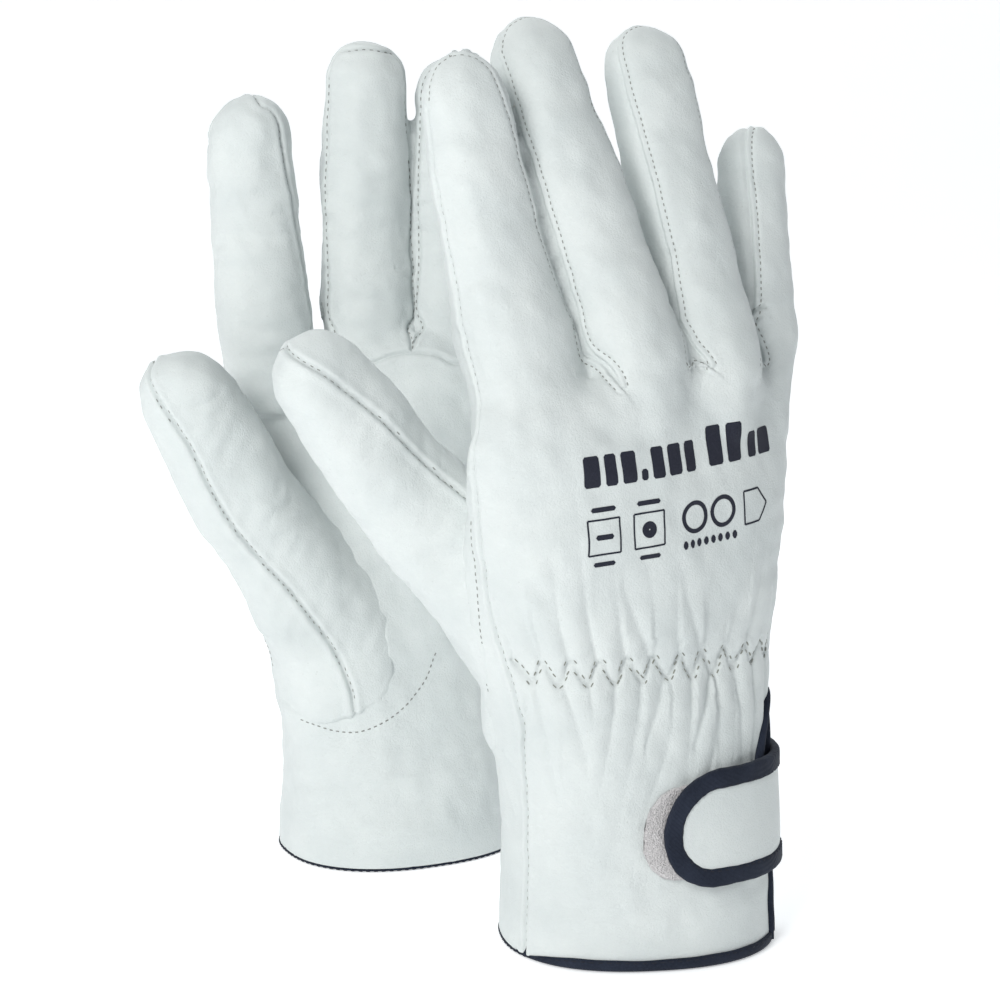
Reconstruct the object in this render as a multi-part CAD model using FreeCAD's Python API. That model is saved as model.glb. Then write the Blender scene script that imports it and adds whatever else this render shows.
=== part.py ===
import FreeCAD, Part
import math
import os

# A pair of unlined grain-leather welding gloves of the fine, TIG kind, standing on their hems, palm to palm.
# Millimetres. Row frame: +X to the right, +Y away from the front glove's back, +Z up to the fingertips,
# origin at the bottom centre of the pair's bounding box.
#
# Each glove is drawn in its own frame and then placed: +z to the fingertips, -y the back of the hand,
# -x the thumb side, origin at the middle of the hem. The left glove is the mirror image in y.

V = FreeCAD.Vector

# ---- driving dimensions -------------------------------------------------------------
LEATHER = 1.2            # thickness of the grain leather, mm
GAP = 0.3                # clearance between pieces of different bodies
HAND_TOP = 147.0         # the panels end here and the finger stalls begin
HEM_H = 3.4              # height of the bound hem
BIND_T = 0.6             # the binding stands this much proud of the leather, inside and out
SEAM = [(0, 9), (25, 9), (50, 8), (75, 6.5), (150, 6)]  # height, and how far the side seams lie to the back of the middle
VENT_TOP = 66.0          # the wrist vent is slit up to here from the hem
VENT_HALF = 1.3          # half the width of the slit
VENT_BIND = 3.2          # width of the binding along each edge of the slit
ELASTIC_Z = (69.0, 78.0) # the elastic sewn inside the back of the wrist
ELASTIC_T = 0.8
CLEAR = 9.6              # a stall's rigid tube starts and ends this far from its hinge
SLEEVE = 9.3             # and the soft sleeve between covers this much
STRAP_Z = (22.5, 53.5)   # the wrist tab, bottom and top edge
STRAP_T = 1.3
STRAP_BIND_W = 4.5
PATCH_T = 1.0
STRAP_ROOT, STRAP_TIP = 28.0, -93.0  # round the cuff, degrees of its section: sewn end on the palm side, free end on the back
STRAP_OFF = [(-200, 2.2), (-45, 2.2), (-5, 1.25), (12, 1.0), (28, 0.5)]  # how far the tab stands off the leather
SUPER = 2.3              # exponent of the hand's rounded section
RING_N = 20              # points round a section

# where each glove stands, and how it is turned about Z
ORIGIN = (-10.548, 3.084)  # taken off every point, so that the origin is the bottom centre of the pair's box
PLACE = {
    "right": dict(mirror=1, at=(40.0, -40.0), turn=28.0),
    "left": dict(mirror=-1, at=(-31.5, 44.0), turn=6.0),
}

# the hand's sections: z, centre x, centre y, half width, half depth, turn about z
HAND = {
    "right": [(0, -2, 0, 38.5, 33, -20), (25, -2, 0, 37.5, 31, -15), (50, -3, 0, 38, 28, -8),
              (75, -4, 0, 41.5, 24.5, 0), (97, -5, 0, 45.5, 23.5, 0), (118, -5.0, 0, 48.5, 23, 2), (150, -3, 1, 51, 19, 4)],
    "left": [(0, -1, 0, 38.5, 33, -20), (25, -1, 0, 37.5, 31, -15), (50, -2, 0, 38, 28, -8),
             (75, -4, 0, 41.5, 24.5, 0), (97, -5.5, 0, 45.5, 23.5, 0), (118, -6.5, 0, 48, 23, 2), (150, -6, 1, 49.5, 19, 3)],
}

# each stall: hinge point, (flex, spread, length) of its two runs, half widths and half depths at the root, the
# middle and the tip, and the centre and half width of its root on the hand
FINGERS = {
    "right": {
        "index": dict(base=(-35.30, 6.43, 159.59), runs=[(10, -9.6, 38), (13, -6.2, 50)], w=(14.9, 13.8, 10.8), h=(12.5, 12.0, 9.3), root=(-35.2, 3.5, 13.6)),
        "middle": dict(base=(-4.84, -0.67, 163.01), runs=[(18, -12.3, 44), (22, -8.3, 56)], w=(13.0, 13.4, 10.8), h=(12.5, 12.0, 9.3), root=(-5.8, -3, 12.4)),
        "ring": dict(base=(21.72, 1.09, 163.33), runs=[(17, -5.5, 42), (21, -2.5, 54)], w=(11.6, 12.4, 10.2), h=(12.0, 11.5, 9.0), root=(19.3, -1.5, 10.8)),
        "little": dict(base=(44.43, 10.91, 159.62), runs=[(12, 6, 29), (16, 7, 39)], w=(9.8, 10.8, 8.6), h=(10.5, 10.0, 8.0), root=(38.6, 5.5, 7.9)),
    },
    "left": {
        "index": dict(base=(-41.22, 4.98, 159.91), runs=[(4, -5, 33), (7, -2, 43)], w=(13.8, 13.6, 11.0), h=(12.5, 12.0, 9.5), root=(-40.3, 3.5, 12.8)),
        "middle": dict(base=(-9.49, -2.27, 163.97), runs=[(3, -2, 39), (6, 1, 50)], w=(13.0, 13.6, 11.4), h=(12.5, 12.0, 9.5), root=(-10.8, -2, 12.4)),
        "ring": dict(base=(16.50, -2.76, 164.00), runs=[(1, 0, 37), (4, 0, 47)], w=(11.5, 12.2, 10.0), h=(12.0, 11.5, 9.0), root=(14.6, -2, 10.8)),
        "little": dict(base=(38.13, 3.27, 159.96), runs=[(-3, 3, 28), (0, 2, 38)], w=(9.7, 10.8, 8.6), h=(10.5, 10.0, 8.0), root=(34.2, 3.5, 7.9)),
    },
}
THUMB = {
    "right": dict(base=(-26.0, 11, 80), runs=[(16, -36, 60), (10, -36, 53)], w=(18.5, 16.0, 12.0), h=(16.0, 14.0, 11.0)),
    "left": dict(base=(-21.0, 14, 70), runs=[(18, -31, 58), (12, -27, 50)], w=(18.5, 16.0, 12.0), h=(16.0, 14.0, 11.0)),
}
THUMB_LOW = 15.0         # the thumb stall's rigid tube starts this far up from its hinge
THUMB_TURN = (-8, 4, 16, 28, 40) # the hole in the palm is clear of the thumb at these angles, degrees


# ---- vectors ------------------------------------------------------------------------
def direction(flex, spread):
    f, s = math.radians(flex), math.radians(spread)
    return V(math.sin(s) * math.cos(f), math.sin(f), math.cos(s) * math.cos(f))


def place(side, p):
    """A point of the glove's own frame, in the row frame."""
    g = PLACE[side]
    t = math.radians(g["turn"])
    x, y = p[0], p[1] * g["mirror"]
    return V(x * math.cos(t) - y * math.sin(t) + g["at"][0] - ORIGIN[0],
             x * math.sin(t) + y * math.cos(t) + g["at"][1] - ORIGIN[1], p[2])


def oval(side, c, ex, ey, a, b, n=2.0, count=RING_N):
    """A closed smooth wire: an oval of half widths a and b on the directions ex and ey."""
    pts = []
    for i in range(count):
        t = 2 * math.pi * i / count
        ct, st = math.cos(t), math.sin(t)
        x = math.copysign(abs(ct) ** (2 / n), ct) * a
        y = math.copysign(abs(st) ** (2 / n), st) * b
        pts.append(place(side, (c[0] + x * ex[0] + y * ey[0], c[1] + x * ex[1] + y * ey[1], c[2] + x * ex[2] + y * ey[2])))
    curve = Part.BSplineCurve()
    curve.interpolate(Points=pts, PeriodicFlag=True)
    return Part.Wire([curve.toShape()])


def solid(shape):
    """One clean solid out of a loft or a cut."""
    found = list(shape.Solids)
    if not found:
        found = [Part.Solid(s) for s in shape.Shells]
    found.sort(key=lambda s: -abs(s.Volume))
    s = found[0]
    if s.Volume < 0:
        s.reverse()
    return s


def loft(wires):
    return solid(Part.makeLoft(wires, True, False))


# ---- the hand -----------------------------------------------------------------------
def hand_at(side, z):
    """The hand's section at a height, on a smooth curve through the ones given."""
    rows = HAND[side]
    z = min(max(z, rows[0][0]), rows[-1][0])
    i = max(k for k in range(len(rows) - 1) if rows[k][0] <= z)
    lo, hi = rows[i], rows[i + 1]
    step = hi[0] - lo[0]
    k = (z - lo[0]) / step
    out = [z]
    for c in range(1, 6):
        chord = (hi[c] - lo[c]) / step
        m0 = chord if i == 0 else (hi[c] - rows[i - 1][c]) / (hi[0] - rows[i - 1][0])
        m1 = chord if i + 2 == len(rows) else (rows[i + 2][c] - lo[c]) / (rows[i + 2][0] - lo[0])
        out.append((2 * k ** 3 - 3 * k ** 2 + 1) * lo[c] + (k ** 3 - 2 * k ** 2 + k) * step * m0
                   + (3 * k ** 2 - 2 * k ** 3) * hi[c] + (k ** 3 - k ** 2) * step * m1)
    return tuple(out)


def hand_body(side, off, z0, z1):
    """The solid inside the hand's surface moved out by off, from z0 to z1."""
    cuts = [z0] + [z for z in range(0, 150, 12) if z0 + 2.5 < z < z1 - 2.5] + [z1]
    wires = []
    for z in cuts:
        s = hand_at(side, min(max(z, 0), 150))
        t = math.radians(s[5])
        wires.append(oval(side, (s[1], s[2], z), (math.cos(t), math.sin(t), 0), (-math.sin(t), math.cos(t), 0),
                          s[3] + off, s[4] + off, SUPER, 24))
    return loft(wires)


def block(side, x0, x1, y0, y1, z0, z1):
    """A box given in the glove's frame."""
    c = [place(side, (x, y, z0)) for x, y in ((x0, y0), (x1, y0), (x1, y1), (x0, y1))]
    face = Part.Face(Part.makePolygon(c + [c[0]]))
    return solid(face.extrude(V(0, 0, z1 - z0)))


def between_rows(rows, x):
    if x <= rows[0][0]:
        return rows[0][1]
    for lo, hi in zip(rows, rows[1:]):
        if x <= hi[0]:
            return lo[1] + (hi[1] - lo[1]) * (x - lo[0]) / (hi[0] - lo[0])
    return rows[-1][1]


def slab(side, x0, x1, y0, y1, z0, z1):
    """A block that turns with the hand's sections; y0 and y1 are counted from the side seams."""
    wires = []
    for z in [z0] + [z for z in range(0, 150, 12) if z0 + 2 < z < z1 - 2] + [z1]:
        s = hand_at(side, min(max(z, 0), 150))
        t, m = math.radians(s[5]), -between_rows(SEAM, z)
        c = []
        for x, y in ((x0, m + y0), (x1, m + y0), (x1, m + y1), (x0, m + y1)):
            c.append(place(side, (s[1] + x * math.cos(t) - y * math.sin(t), s[2] + x * math.sin(t) + y * math.cos(t), z)))
        wires.append(Part.makePolygon(c + [c[0]]))
    return solid(Part.makeLoft(wires, True, True))


# ---- stalls -------------------------------------------------------------------------
class Stall:
    """A finger or thumb stall: two straight runs with a soft bend between."""

    def __init__(self, side, spec):
        self.side, self.s = side, spec
        self.base = V(*spec["base"])
        (f1, s1, self.l1), (f2, s2, self.l2) = spec["runs"]
        self.d1, self.d2 = direction(f1, s1), direction(f2, s2)
        self.mid = self.base + self.d1 * self.l1

    def section(self, s, off):
        """Centre, cross directions and half widths at a distance s up from the hinge."""
        L = self.l1 + self.l2
        c = self.base + self.d1 * s if s <= self.l1 else self.mid + self.d2 * (s - self.l1)
        k = min(max((s - self.l1 + CLEAR) / (2 * CLEAR), 0), 1)
        d = self.d1 * (1 - k) + self.d2 * k
        d.normalize()
        ex = V(1, 0, 0) - d * d.x
        ex.normalize()
        ey = d.cross(ex)
        w, h = self.s["w"], self.s["h"]

        def between(v):
            if s <= self.l1:
                return v[0] + (v[1] - v[0]) * max(s, 0) / self.l1
            t = (s - self.l1) / (L - self.l1)
            return v[1] + (v[2] - v[1]) * t ** 1.6
        a, b = between(w), between(h)
        r = min(w[2], h[2]) * 1.25
        if s > L - r:
            q = math.sqrt(max(0.0, 1 - ((s - L + r) / r) ** 2))
            a, b = a * q, b * q
        return c, ex, ey, a + off, b + off

    def wire(self, s, off):
        c, ex, ey, a, b = self.section(s, off)
        return oval(self.side, c, ex, ey, max(a, 0.8), max(b, 0.8))

    def body(self, s0, s1, off=0.0, extra=()):
        cuts = [s0] + list(extra) + [s1]
        return loft([self.wire(s, off) for s in cuts])

    def tube(self, s0, s1):
        """An open leather tube from s0 to s1."""
        mids = [s0 + (s1 - s0) * k for k in (0.5,)]
        outer = self.body(s0, s1, 0.0, mids)
        inner = self.body(s0 - 1.0, s1 + 1.0, -LEATHER, mids)
        return solid(outer.cut(inner))

    def cap(self, s0):
        """The closed end of the stall, from s0 to the fingertip."""
        L = self.l1 + self.l2
        r = min(self.s["w"][2], self.s["h"][2]) * 1.25
        steps = [s0, (s0 + L - r) / 2, L - r, L - 0.62 * r, L - 0.3 * r, L - 0.1 * r, L - 0.02 * r]
        outer = loft([self.wire(s, 0.0) for s in steps])
        wires = [self.wire(s0 - 1.0, -LEATHER)]
        for s in steps[1:-1]:
            c, ex, ey, a, b = self.section(s, 0.0)
            c = c - self.d2 * (LEATHER * (1.0 if s > L - r else 0.0))
            wires.append(oval(self.side, c, ex, ey, max(a - LEATHER, 0.6), max(b - LEATHER, 0.6)))
        return solid(outer.cut(loft(wires)))

    def root_sleeve(self):
        """The soft leather between the hand and the stall's rigid tube."""
        rx, ry, rw = self.s["root"]
        h = self.s["h"][0]
        z0 = HAND_TOP + GAP

        def wires(off, lo, hi):
            low = oval(self.side, (rx, ry, z0 + lo), (1, 0, 0), (0, 1, 0), rw + off, h + off)
            return [low, self.wire(SLEEVE + hi, off)]
        outer = loft(wires(0.0, 0.0, 0.0))
        inner = loft(wires(-LEATHER, -1.0, 1.0))
        return solid(outer.cut(inner))

    def turned(self, shape, angle):
        """A shape turned about the stall's root hinge, for the thumb's hole."""
        out = shape.copy()
        p = place(self.side, self.base)
        sign = -1 if self.side == "right" else 1
        out.rotate(p, V(0, 0, 1), sign * angle)
        return out


# ---- one glove ----------------------------------------------------------------------
def arc_band(side, off0, off1, z0, z1, t0, t1, round_end=0.0, follow=False, count=19):
    """A curved band on the cuff between two offsets, from angle t0 to t1 of the cuff's section, in degrees.
    round_end rounds the corners at t1, and follow counts the offsets from the tab's own stand-off."""
    def ring(extra, z):
        s = hand_at(side, max(z, 0))
        t = math.radians(s[5])
        n = 2 / SUPER
        pts = []
        for i in range(count):
            deg = t0 + (t1 - t0) * i / (count - 1)
            u = math.radians(deg)
            off = extra + (between_rows(STRAP_OFF, deg) if follow else 0.0)
            cu, su = math.cos(u), math.sin(u)
            x = math.copysign(abs(cu) ** n, cu) * (s[3] + off)
            y = math.copysign(abs(su) ** n, su) * (s[4] + off)
            pts.append(place(side, (s[1] + x * math.cos(t) - y * math.sin(t), s[2] + x * math.sin(t) + y * math.cos(t), z)))
        return pts

    def profile(z):
        a, b = ring(off1, z), ring(off0, z)
        ca, cb = Part.BSplineCurve(), Part.BSplineCurve()
        ca.interpolate(Points=a)
        cb.interpolate(Points=b[::-1])
        return Part.Wire([ca.toShape(), Part.makeLine(a[-1], b[-1]), cb.toShape(), Part.makeLine(b[0], a[0])])
    zs = [z0 + (z1 - z0) * k for k in (0, 0.5, 1)]
    band = loft([profile(z) for z in zs])
    if round_end:
        # a rounded tip: the band is cut by a round bar standing out from the cuff
        mid = ring((off0 + off1) / 2, (z0 + z1) / 2)
        tip, back = mid[-1], mid[-2]
        axis = (tip - back).normalize()
        out = axis.cross(V(0, 0, 1)).normalize()
        r = (z1 - z0) / 2
        c = tip - axis * round_end
        bar = Part.makeCylinder(r, 60, c - out * 30, out)
        keep = bar.fuse(Part.makeBox(1, 1, 1, V(0, 0, -500)))
        half = Part.makeBox(200, 120, 400)
        # everything on the strap's side of the bar's axis stays
        m = FreeCAD.Matrix(axis.x, out.x, 0, 0, axis.y, out.y, 0, 0, axis.z, out.z, 1, 0, 0, 0, 0, 1)
        half.translate(V(-200, -60, -200))
        half = half.transformGeometry(m)
        half.translate(c)
        band = solid(band.common(half.fuse(bar)))
    return band


def glove(side):
    out = {}
    skin_out = hand_body(side, 0.0, 0.0, HAND_TOP)
    skin_in = hand_body(side, -LEATHER, -1.0, HAND_TOP + 1.0)
    shell = skin_out.cut(skin_in)
    thumb = Stall(side, THUMB[side])

    # the thumb's opening in the palm
    hole = thumb.body(-7.0, thumb.l1, 0.8, (10.0, 30.0))
    for angle in THUMB_TURN:
        shell = shell.cut(thumb.turned(hole, angle))

    # hem and vent bindings take the place of the leather at their edges
    half = VENT_HALF + VENT_BIND
    vent_zone = slab(side, 14, 60, -half, half, -2, VENT_TOP + VENT_BIND)
    slit = slab(side, 12, 62, -VENT_HALF, VENT_HALF, -3, VENT_TOP)
    thick = hand_body(side, BIND_T, 0.0, VENT_TOP + 8).cut(hand_body(side, -LEATHER - BIND_T, -1.0, VENT_TOP + 9))
    out["vent_binding"] = solid(thick.common(vent_zone).cut(slit))
    low = block(side, -80, 80, -80, 80, -2, HEM_H)
    out["hem_binding"] = solid(thick.common(low).cut(vent_zone))
    skin = shell.cut(low).cut(vent_zone)

    back_side = slab(side, -90, 90, -90, 0, -5, 200)
    palm_side = slab(side, -90, 90, 0, 110, -5, 200)
    out["back_panel"] = solid(skin.common(back_side))
    out["palm_panel"] = solid(skin.common(palm_side))

    # the webs between the fingers close the top of the hand round the stalls' roots
    webs = hand_body(side, -LEATHER - 0.1, HAND_TOP - 1.4, HAND_TOP)
    for name, spec in FINGERS[side].items():
        rx, ry, rw = spec["root"]
        h = spec["h"][0]
        webs = webs.cut(loft([oval(side, (rx, ry, z), (1, 0, 0), (0, 1, 0), rw - 2.2, h - 3.2) for z in (HAND_TOP - 5, HAND_TOP + 5)]))
    out["finger_webs"] = solid(webs)

    # elastic inside the back of the wrist
    inside = -LEATHER - 0.3
    band = hand_body(side, inside, *ELASTIC_Z).cut(hand_body(side, inside - ELASTIC_T, ELASTIC_Z[0] - 1, ELASTIC_Z[1] + 1))
    out["wrist_elastic"] = solid(band.common(slab(side, -90, 90, -90, -3, 60, 90)))

    # stalls
    for name, spec in FINGERS[side].items():
        st = Stall(side, spec)
        out[name + "_knuckle_sleeve"] = st.root_sleeve()
        out[name + "_lower"] = st.tube(CLEAR, st.l1 - CLEAR)
        out[name + "_mid_sleeve"] = st.tube(st.l1 - SLEEVE, st.l1 + SLEEVE)
        out[name + "_tip"] = st.cap(st.l1 + CLEAR)
    out["thumb_root_sleeve"] = thumb.tube(-6.0, THUMB_LOW - GAP)
    out["thumb_lower"] = thumb.tube(THUMB_LOW, thumb.l1 - CLEAR)
    out["thumb_mid_sleeve"] = thumb.tube(thumb.l1 - SLEEVE, thumb.l1 + SLEEVE)
    out["thumb_tip"] = thumb.cap(thumb.l1 + CLEAR)

    # the wrist tab: sewn on the palm side, over the vent and on to the back, with its bound edge
    z0, z1 = STRAP_Z
    b, r = STRAP_BIND_W, (z1 - z0) / 2
    tab = arc_band(side, 0, STRAP_T, z0, z1, STRAP_ROOT, STRAP_TIP, r, True)
    core = arc_band(side, -2, STRAP_T + 2, z0 + b, z1 - b, STRAP_ROOT, STRAP_TIP + 7.5, r - b, True)
    rim = arc_band(side, -0.05, STRAP_T + 0.6, z0, z1, STRAP_ROOT, STRAP_TIP, r, True)
    out["strap_binding"] = solid(rim.cut(core))
    out["strap"] = solid(tab.common(core))
    out["hook_patch"] = solid(arc_band(side, -0.85, -0.1, z0 + b + 1.5, z1 - b - 1.5, STRAP_TIP + 34, STRAP_TIP + 14, 0.0, True))
    out["loop_patch"] = solid(arc_band(side, 0.1, 0.1 + PATCH_T, z0 + 3.5, z1 - 5, STRAP_TIP + 38, STRAP_TIP - 5, 6.0))
    return out


# ---- the pair -----------------------------------------------------------------------
def main():
    os.makedirs("parts", exist_ok=True)
    for side in ("right", "left"):
        for name, shape in glove(side).items():
            shape.exportStep("parts/%s_%s.step" % (side, name))


main()
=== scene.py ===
import bpy
import bmesh
import math
import random
import numpy as np
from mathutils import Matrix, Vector, kdtree
from mathutils.bvhtree import BVHTree


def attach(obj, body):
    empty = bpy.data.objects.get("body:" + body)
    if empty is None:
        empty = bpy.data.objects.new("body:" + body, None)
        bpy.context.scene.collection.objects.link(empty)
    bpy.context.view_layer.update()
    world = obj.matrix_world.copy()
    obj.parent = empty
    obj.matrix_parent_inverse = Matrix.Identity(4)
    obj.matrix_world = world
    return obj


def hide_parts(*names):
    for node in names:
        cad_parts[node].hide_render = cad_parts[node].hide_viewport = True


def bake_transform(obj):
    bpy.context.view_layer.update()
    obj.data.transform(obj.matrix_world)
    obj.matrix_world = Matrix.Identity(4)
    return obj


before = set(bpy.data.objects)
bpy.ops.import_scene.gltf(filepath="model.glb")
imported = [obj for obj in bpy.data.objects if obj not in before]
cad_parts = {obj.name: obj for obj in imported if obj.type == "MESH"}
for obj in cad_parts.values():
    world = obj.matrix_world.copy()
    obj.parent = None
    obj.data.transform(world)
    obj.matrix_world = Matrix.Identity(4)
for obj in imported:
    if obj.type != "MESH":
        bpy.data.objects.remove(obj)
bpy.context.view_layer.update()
SIDES = ("right", "left")
NAMES = ("index", "middle", "ring", "little")

# ---- the CAD's own numbers, millimetres, in each glove's frame ------------------------
# +z fingertips, -y back of the hand, -x thumb side; the left glove is the mirror image in y
SUPER = 2.3
SEAM = [(0, 9), (25, 9), (50, 8), (75, 6.5), (150, 6)]
VENT_TOP, VENT_HALF, VENT_BIND = 66.0, 1.3, 3.2
STRAP_Z = (22.5, 53.5)
STRAP_ROOT, STRAP_TIP = 28.0, -93.0
STRAP_OFF = [(-200, 2.2), (-45, 2.2), (-5, 1.25), (12, 1.0), (28, 0.5)]
ORIGIN = (-10.548, 3.084)
PLACE = {"right": dict(mirror=1, at=(40.0, -40.0), turn=28.0),
         "left": dict(mirror=-1, at=(-31.5, 44.0), turn=6.0)}
HAND = {
    "right": [(0, -2, 0, 38.5, 33, -20), (25, -2, 0, 37.5, 31, -15), (50, -3, 0, 38, 28, -8),
              (75, -4, 0, 41.5, 24.5, 0), (97, -5, 0, 45.5, 23.5, 0), (118, -5.0, 0, 48.5, 23, 2), (150, -3, 1, 51, 19, 4)],
    "left": [(0, -1, 0, 38.5, 33, -20), (25, -1, 0, 37.5, 31, -15), (50, -2, 0, 38, 28, -8),
             (75, -4, 0, 41.5, 24.5, 0), (97, -5.5, 0, 45.5, 23.5, 0), (118, -6.5, 0, 48, 23, 2), (150, -6, 1, 49.5, 19, 3)],
}
FINGERS = {
    "right": {
        "index": dict(base=(-35.30, 6.43, 159.59), runs=[(10, -9.6, 38), (13, -6.2, 50)], w=(14.9, 13.8, 10.8), h=(12.5, 12.0, 9.3), root=(-35.2, 3.5, 13.6)),
        "middle": dict(base=(-4.84, -0.67, 163.01), runs=[(18, -12.3, 44), (22, -8.3, 56)], w=(13.0, 13.4, 10.8), h=(12.5, 12.0, 9.3), root=(-5.8, -3, 12.4)),
        "ring": dict(base=(21.72, 1.09, 163.33), runs=[(17, -5.5, 42), (21, -2.5, 54)], w=(11.6, 12.4, 10.2), h=(12.0, 11.5, 9.0), root=(19.3, -1.5, 10.8)),
        "little": dict(base=(44.43, 10.91, 159.62), runs=[(12, 6, 29), (16, 7, 39)], w=(9.8, 10.8, 8.6), h=(10.5, 10.0, 8.0), root=(38.6, 5.5, 7.9)),
    },
    "left": {
        "index": dict(base=(-41.22, 4.98, 159.91), runs=[(4, -5, 33), (7, -2, 43)], w=(13.8, 13.6, 11.0), h=(12.5, 12.0, 9.5), root=(-40.3, 3.5, 12.8)),
        "middle": dict(base=(-9.49, -2.27, 163.97), runs=[(3, -2, 39), (6, 1, 50)], w=(13.0, 13.6, 11.4), h=(12.5, 12.0, 9.5), root=(-10.8, -2, 12.4)),
        "ring": dict(base=(16.50, -2.76, 164.00), runs=[(1, 0, 37), (4, 0, 47)], w=(11.5, 12.2, 10.0), h=(12.0, 11.5, 9.0), root=(14.6, -2, 10.8)),
        "little": dict(base=(38.13, 3.27, 159.96), runs=[(-3, 3, 28), (0, 2, 38)], w=(9.7, 10.8, 8.6), h=(10.5, 10.0, 8.0), root=(34.2, 3.5, 7.9)),
    },
}
THUMB = {
    "right": dict(base=(-26.0, 11, 80), runs=[(16, -36, 60), (10, -36, 53)], w=(18.5, 16.0, 12.0), h=(16.0, 14.0, 11.0)),
    "left": dict(base=(-21.0, 14, 70), runs=[(18, -31, 58), (12, -27, 50)], w=(18.5, 16.0, 12.0), h=(16.0, 14.0, 11.0)),
}
CLEAR = 9.6
VENT_SHIFT = [(-5, 1.4), (22, 2.4), (40, 5.5), (50, 8.0), (58, 6.4), (64, 2.6), (70, 0.4), (74, 0.0)]

# ---- looks only: where the seams run --------------------------------------------------
# the thumb-side seam of the cuff and hand: height, and how far it lies to the palm (+) or the back (-) in the turned section
RADIAL = [(0, -17.5), (6, -16.7), (24, -13), (44, -10.4), (67.5, -8.6), (81, -5.2), (98, -3.8), (112, -3.2), (128, -1.1), (142, 1.5), (150, 3.5)]
# gaps between the fingers: x and z of the bottom of the gap
GAPS = {"right": [(-18.6, 160.5), (10.0, 164.2), (35.4, 159.5)], "left": [(-25.2, 160.5), (2.9, 164.6), (26.2, 160.8)]}
# seams along the stalls: (distance up, angle round the stall); -90 is the back of the hand, 90 the palm, 180 the thumb side
BACK_L = {"index": [(0, -176), (40, -178), (78, -172)], "middle": [(2, -166), (20, -166), (50, -162), (75, -167), (92, -172)],
          "ring": [(2, -154), (12, -150), (30, -145), (50, -146), (75, -155), (88, -160)], "little": [(2, -130), (18, -122), (40, -122), (60, -128)]}
BACK_R = {"index": [(0, -18), (20, -30), (40, -38), (60, -48), (80, -60)], "middle": [(2, -18), (20, -26), (60, -30), (92, -35)],
          "ring": [(2, -22), (20, -28), (60, -32), (88, -35)], "little": [(2, 0), (30, 0), (60, -4)]}
PALM_L = {"middle": [(2, 146), (22, 150), (50, 153), (92, 156)], "ring": [(2, 146), (40, 150), (86, 154)], "little": [(2, 146), (30, 150), (60, 155)]}
PALM_R = {"index": [(2, 22), (26, 20), (46, 34), (62, 42), (76, 38)], "middle": [(2, 12), (40, 8), (60, 8), (92, 20)], "ring": [(2, 20), (40, 18), (86, 26)]}
ELASTIC_AT = 81.3      # height of the zigzag
ZIG_P, ZIG_H = 8.0, 6.0


def sgnpow(c, n=SUPER):
    return np.sign(c) * np.abs(c) ** (2 / n)


def direction(flex, spread):
    f, s = math.radians(flex), math.radians(spread)
    return np.array([math.sin(s) * math.cos(f), math.sin(f), math.cos(s) * math.cos(f)])


def unit(v):
    v = np.asarray(v, float)
    return v / max(np.linalg.norm(v), 1e-12)


def place(side, P):
    """Points of a glove's own frame in mm, in the row frame in metres."""
    P = np.atleast_2d(np.asarray(P, float))
    g = PLACE[side]
    t = math.radians(g["turn"])
    x, y = P[:, 0], P[:, 1] * g["mirror"]
    return np.stack([x * math.cos(t) - y * math.sin(t) + g["at"][0] - ORIGIN[0],
                     x * math.sin(t) + y * math.cos(t) + g["at"][1] - ORIGIN[1], P[:, 2]], 1) * 0.001


def rows_at(side, z):
    """Centre x, centre y, half width, half depth and turn of the hand's section at heights z."""
    rows = np.array(HAND[side], float)
    z = np.atleast_1d(np.asarray(z, float))
    zz = np.clip(z, rows[0, 0], rows[-1, 0])
    i = np.clip(np.searchsorted(rows[:, 0], zz, side="right") - 1, 0, len(rows) - 2)
    lo, hi = rows[i], rows[i + 1]
    step = (hi[:, 0] - lo[:, 0])[:, None]
    k = (zz - lo[:, 0])[:, None] / step
    chord = (hi - lo) / step
    prev, nxt = rows[np.maximum(i - 1, 0)], rows[np.minimum(i + 2, len(rows) - 1)]
    m0 = np.where((i == 0)[:, None], chord, (hi - prev) / np.maximum(hi[:, 0] - prev[:, 0], 1e-9)[:, None])
    m1 = np.where((i + 2 == len(rows))[:, None], chord, (nxt - lo) / np.maximum(nxt[:, 0] - lo[:, 0], 1e-9)[:, None])
    out = ((2 * k ** 3 - 3 * k ** 2 + 1) * lo + (k ** 3 - 2 * k ** 2 + k) * step * m0
           + (3 * k ** 2 - 2 * k ** 3) * hi + (k ** 3 - k ** 2) * step * m1)
    return out[:, 1:]


def hand_pt(side, z, deg, off=0.0):
    """A point of the hand's section at angle deg of the section's own parameter."""
    z = np.atleast_1d(np.asarray(z, float))
    r = rows_at(side, z)
    u = np.radians(np.broadcast_to(deg, z.shape).astype(float))
    x = sgnpow(np.cos(u)) * (r[:, 2] + off)
    y = sgnpow(np.sin(u)) * (r[:, 3] + off)
    t = np.radians(r[:, 4])
    return np.stack([r[:, 0] + x * np.cos(t) - y * np.sin(t), r[:, 1] + x * np.sin(t) + y * np.cos(t), z], 1)


def turned(side, P):
    """x', y' in the turned section, and the section's row."""
    r = rows_at(side, P[:, 2])
    t = np.radians(r[:, 4])
    dx, dy = P[:, 0] - r[:, 0], P[:, 1] - r[:, 1]
    return dx * np.cos(t) + dy * np.sin(t), -dx * np.sin(t) + dy * np.cos(t), r


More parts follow.
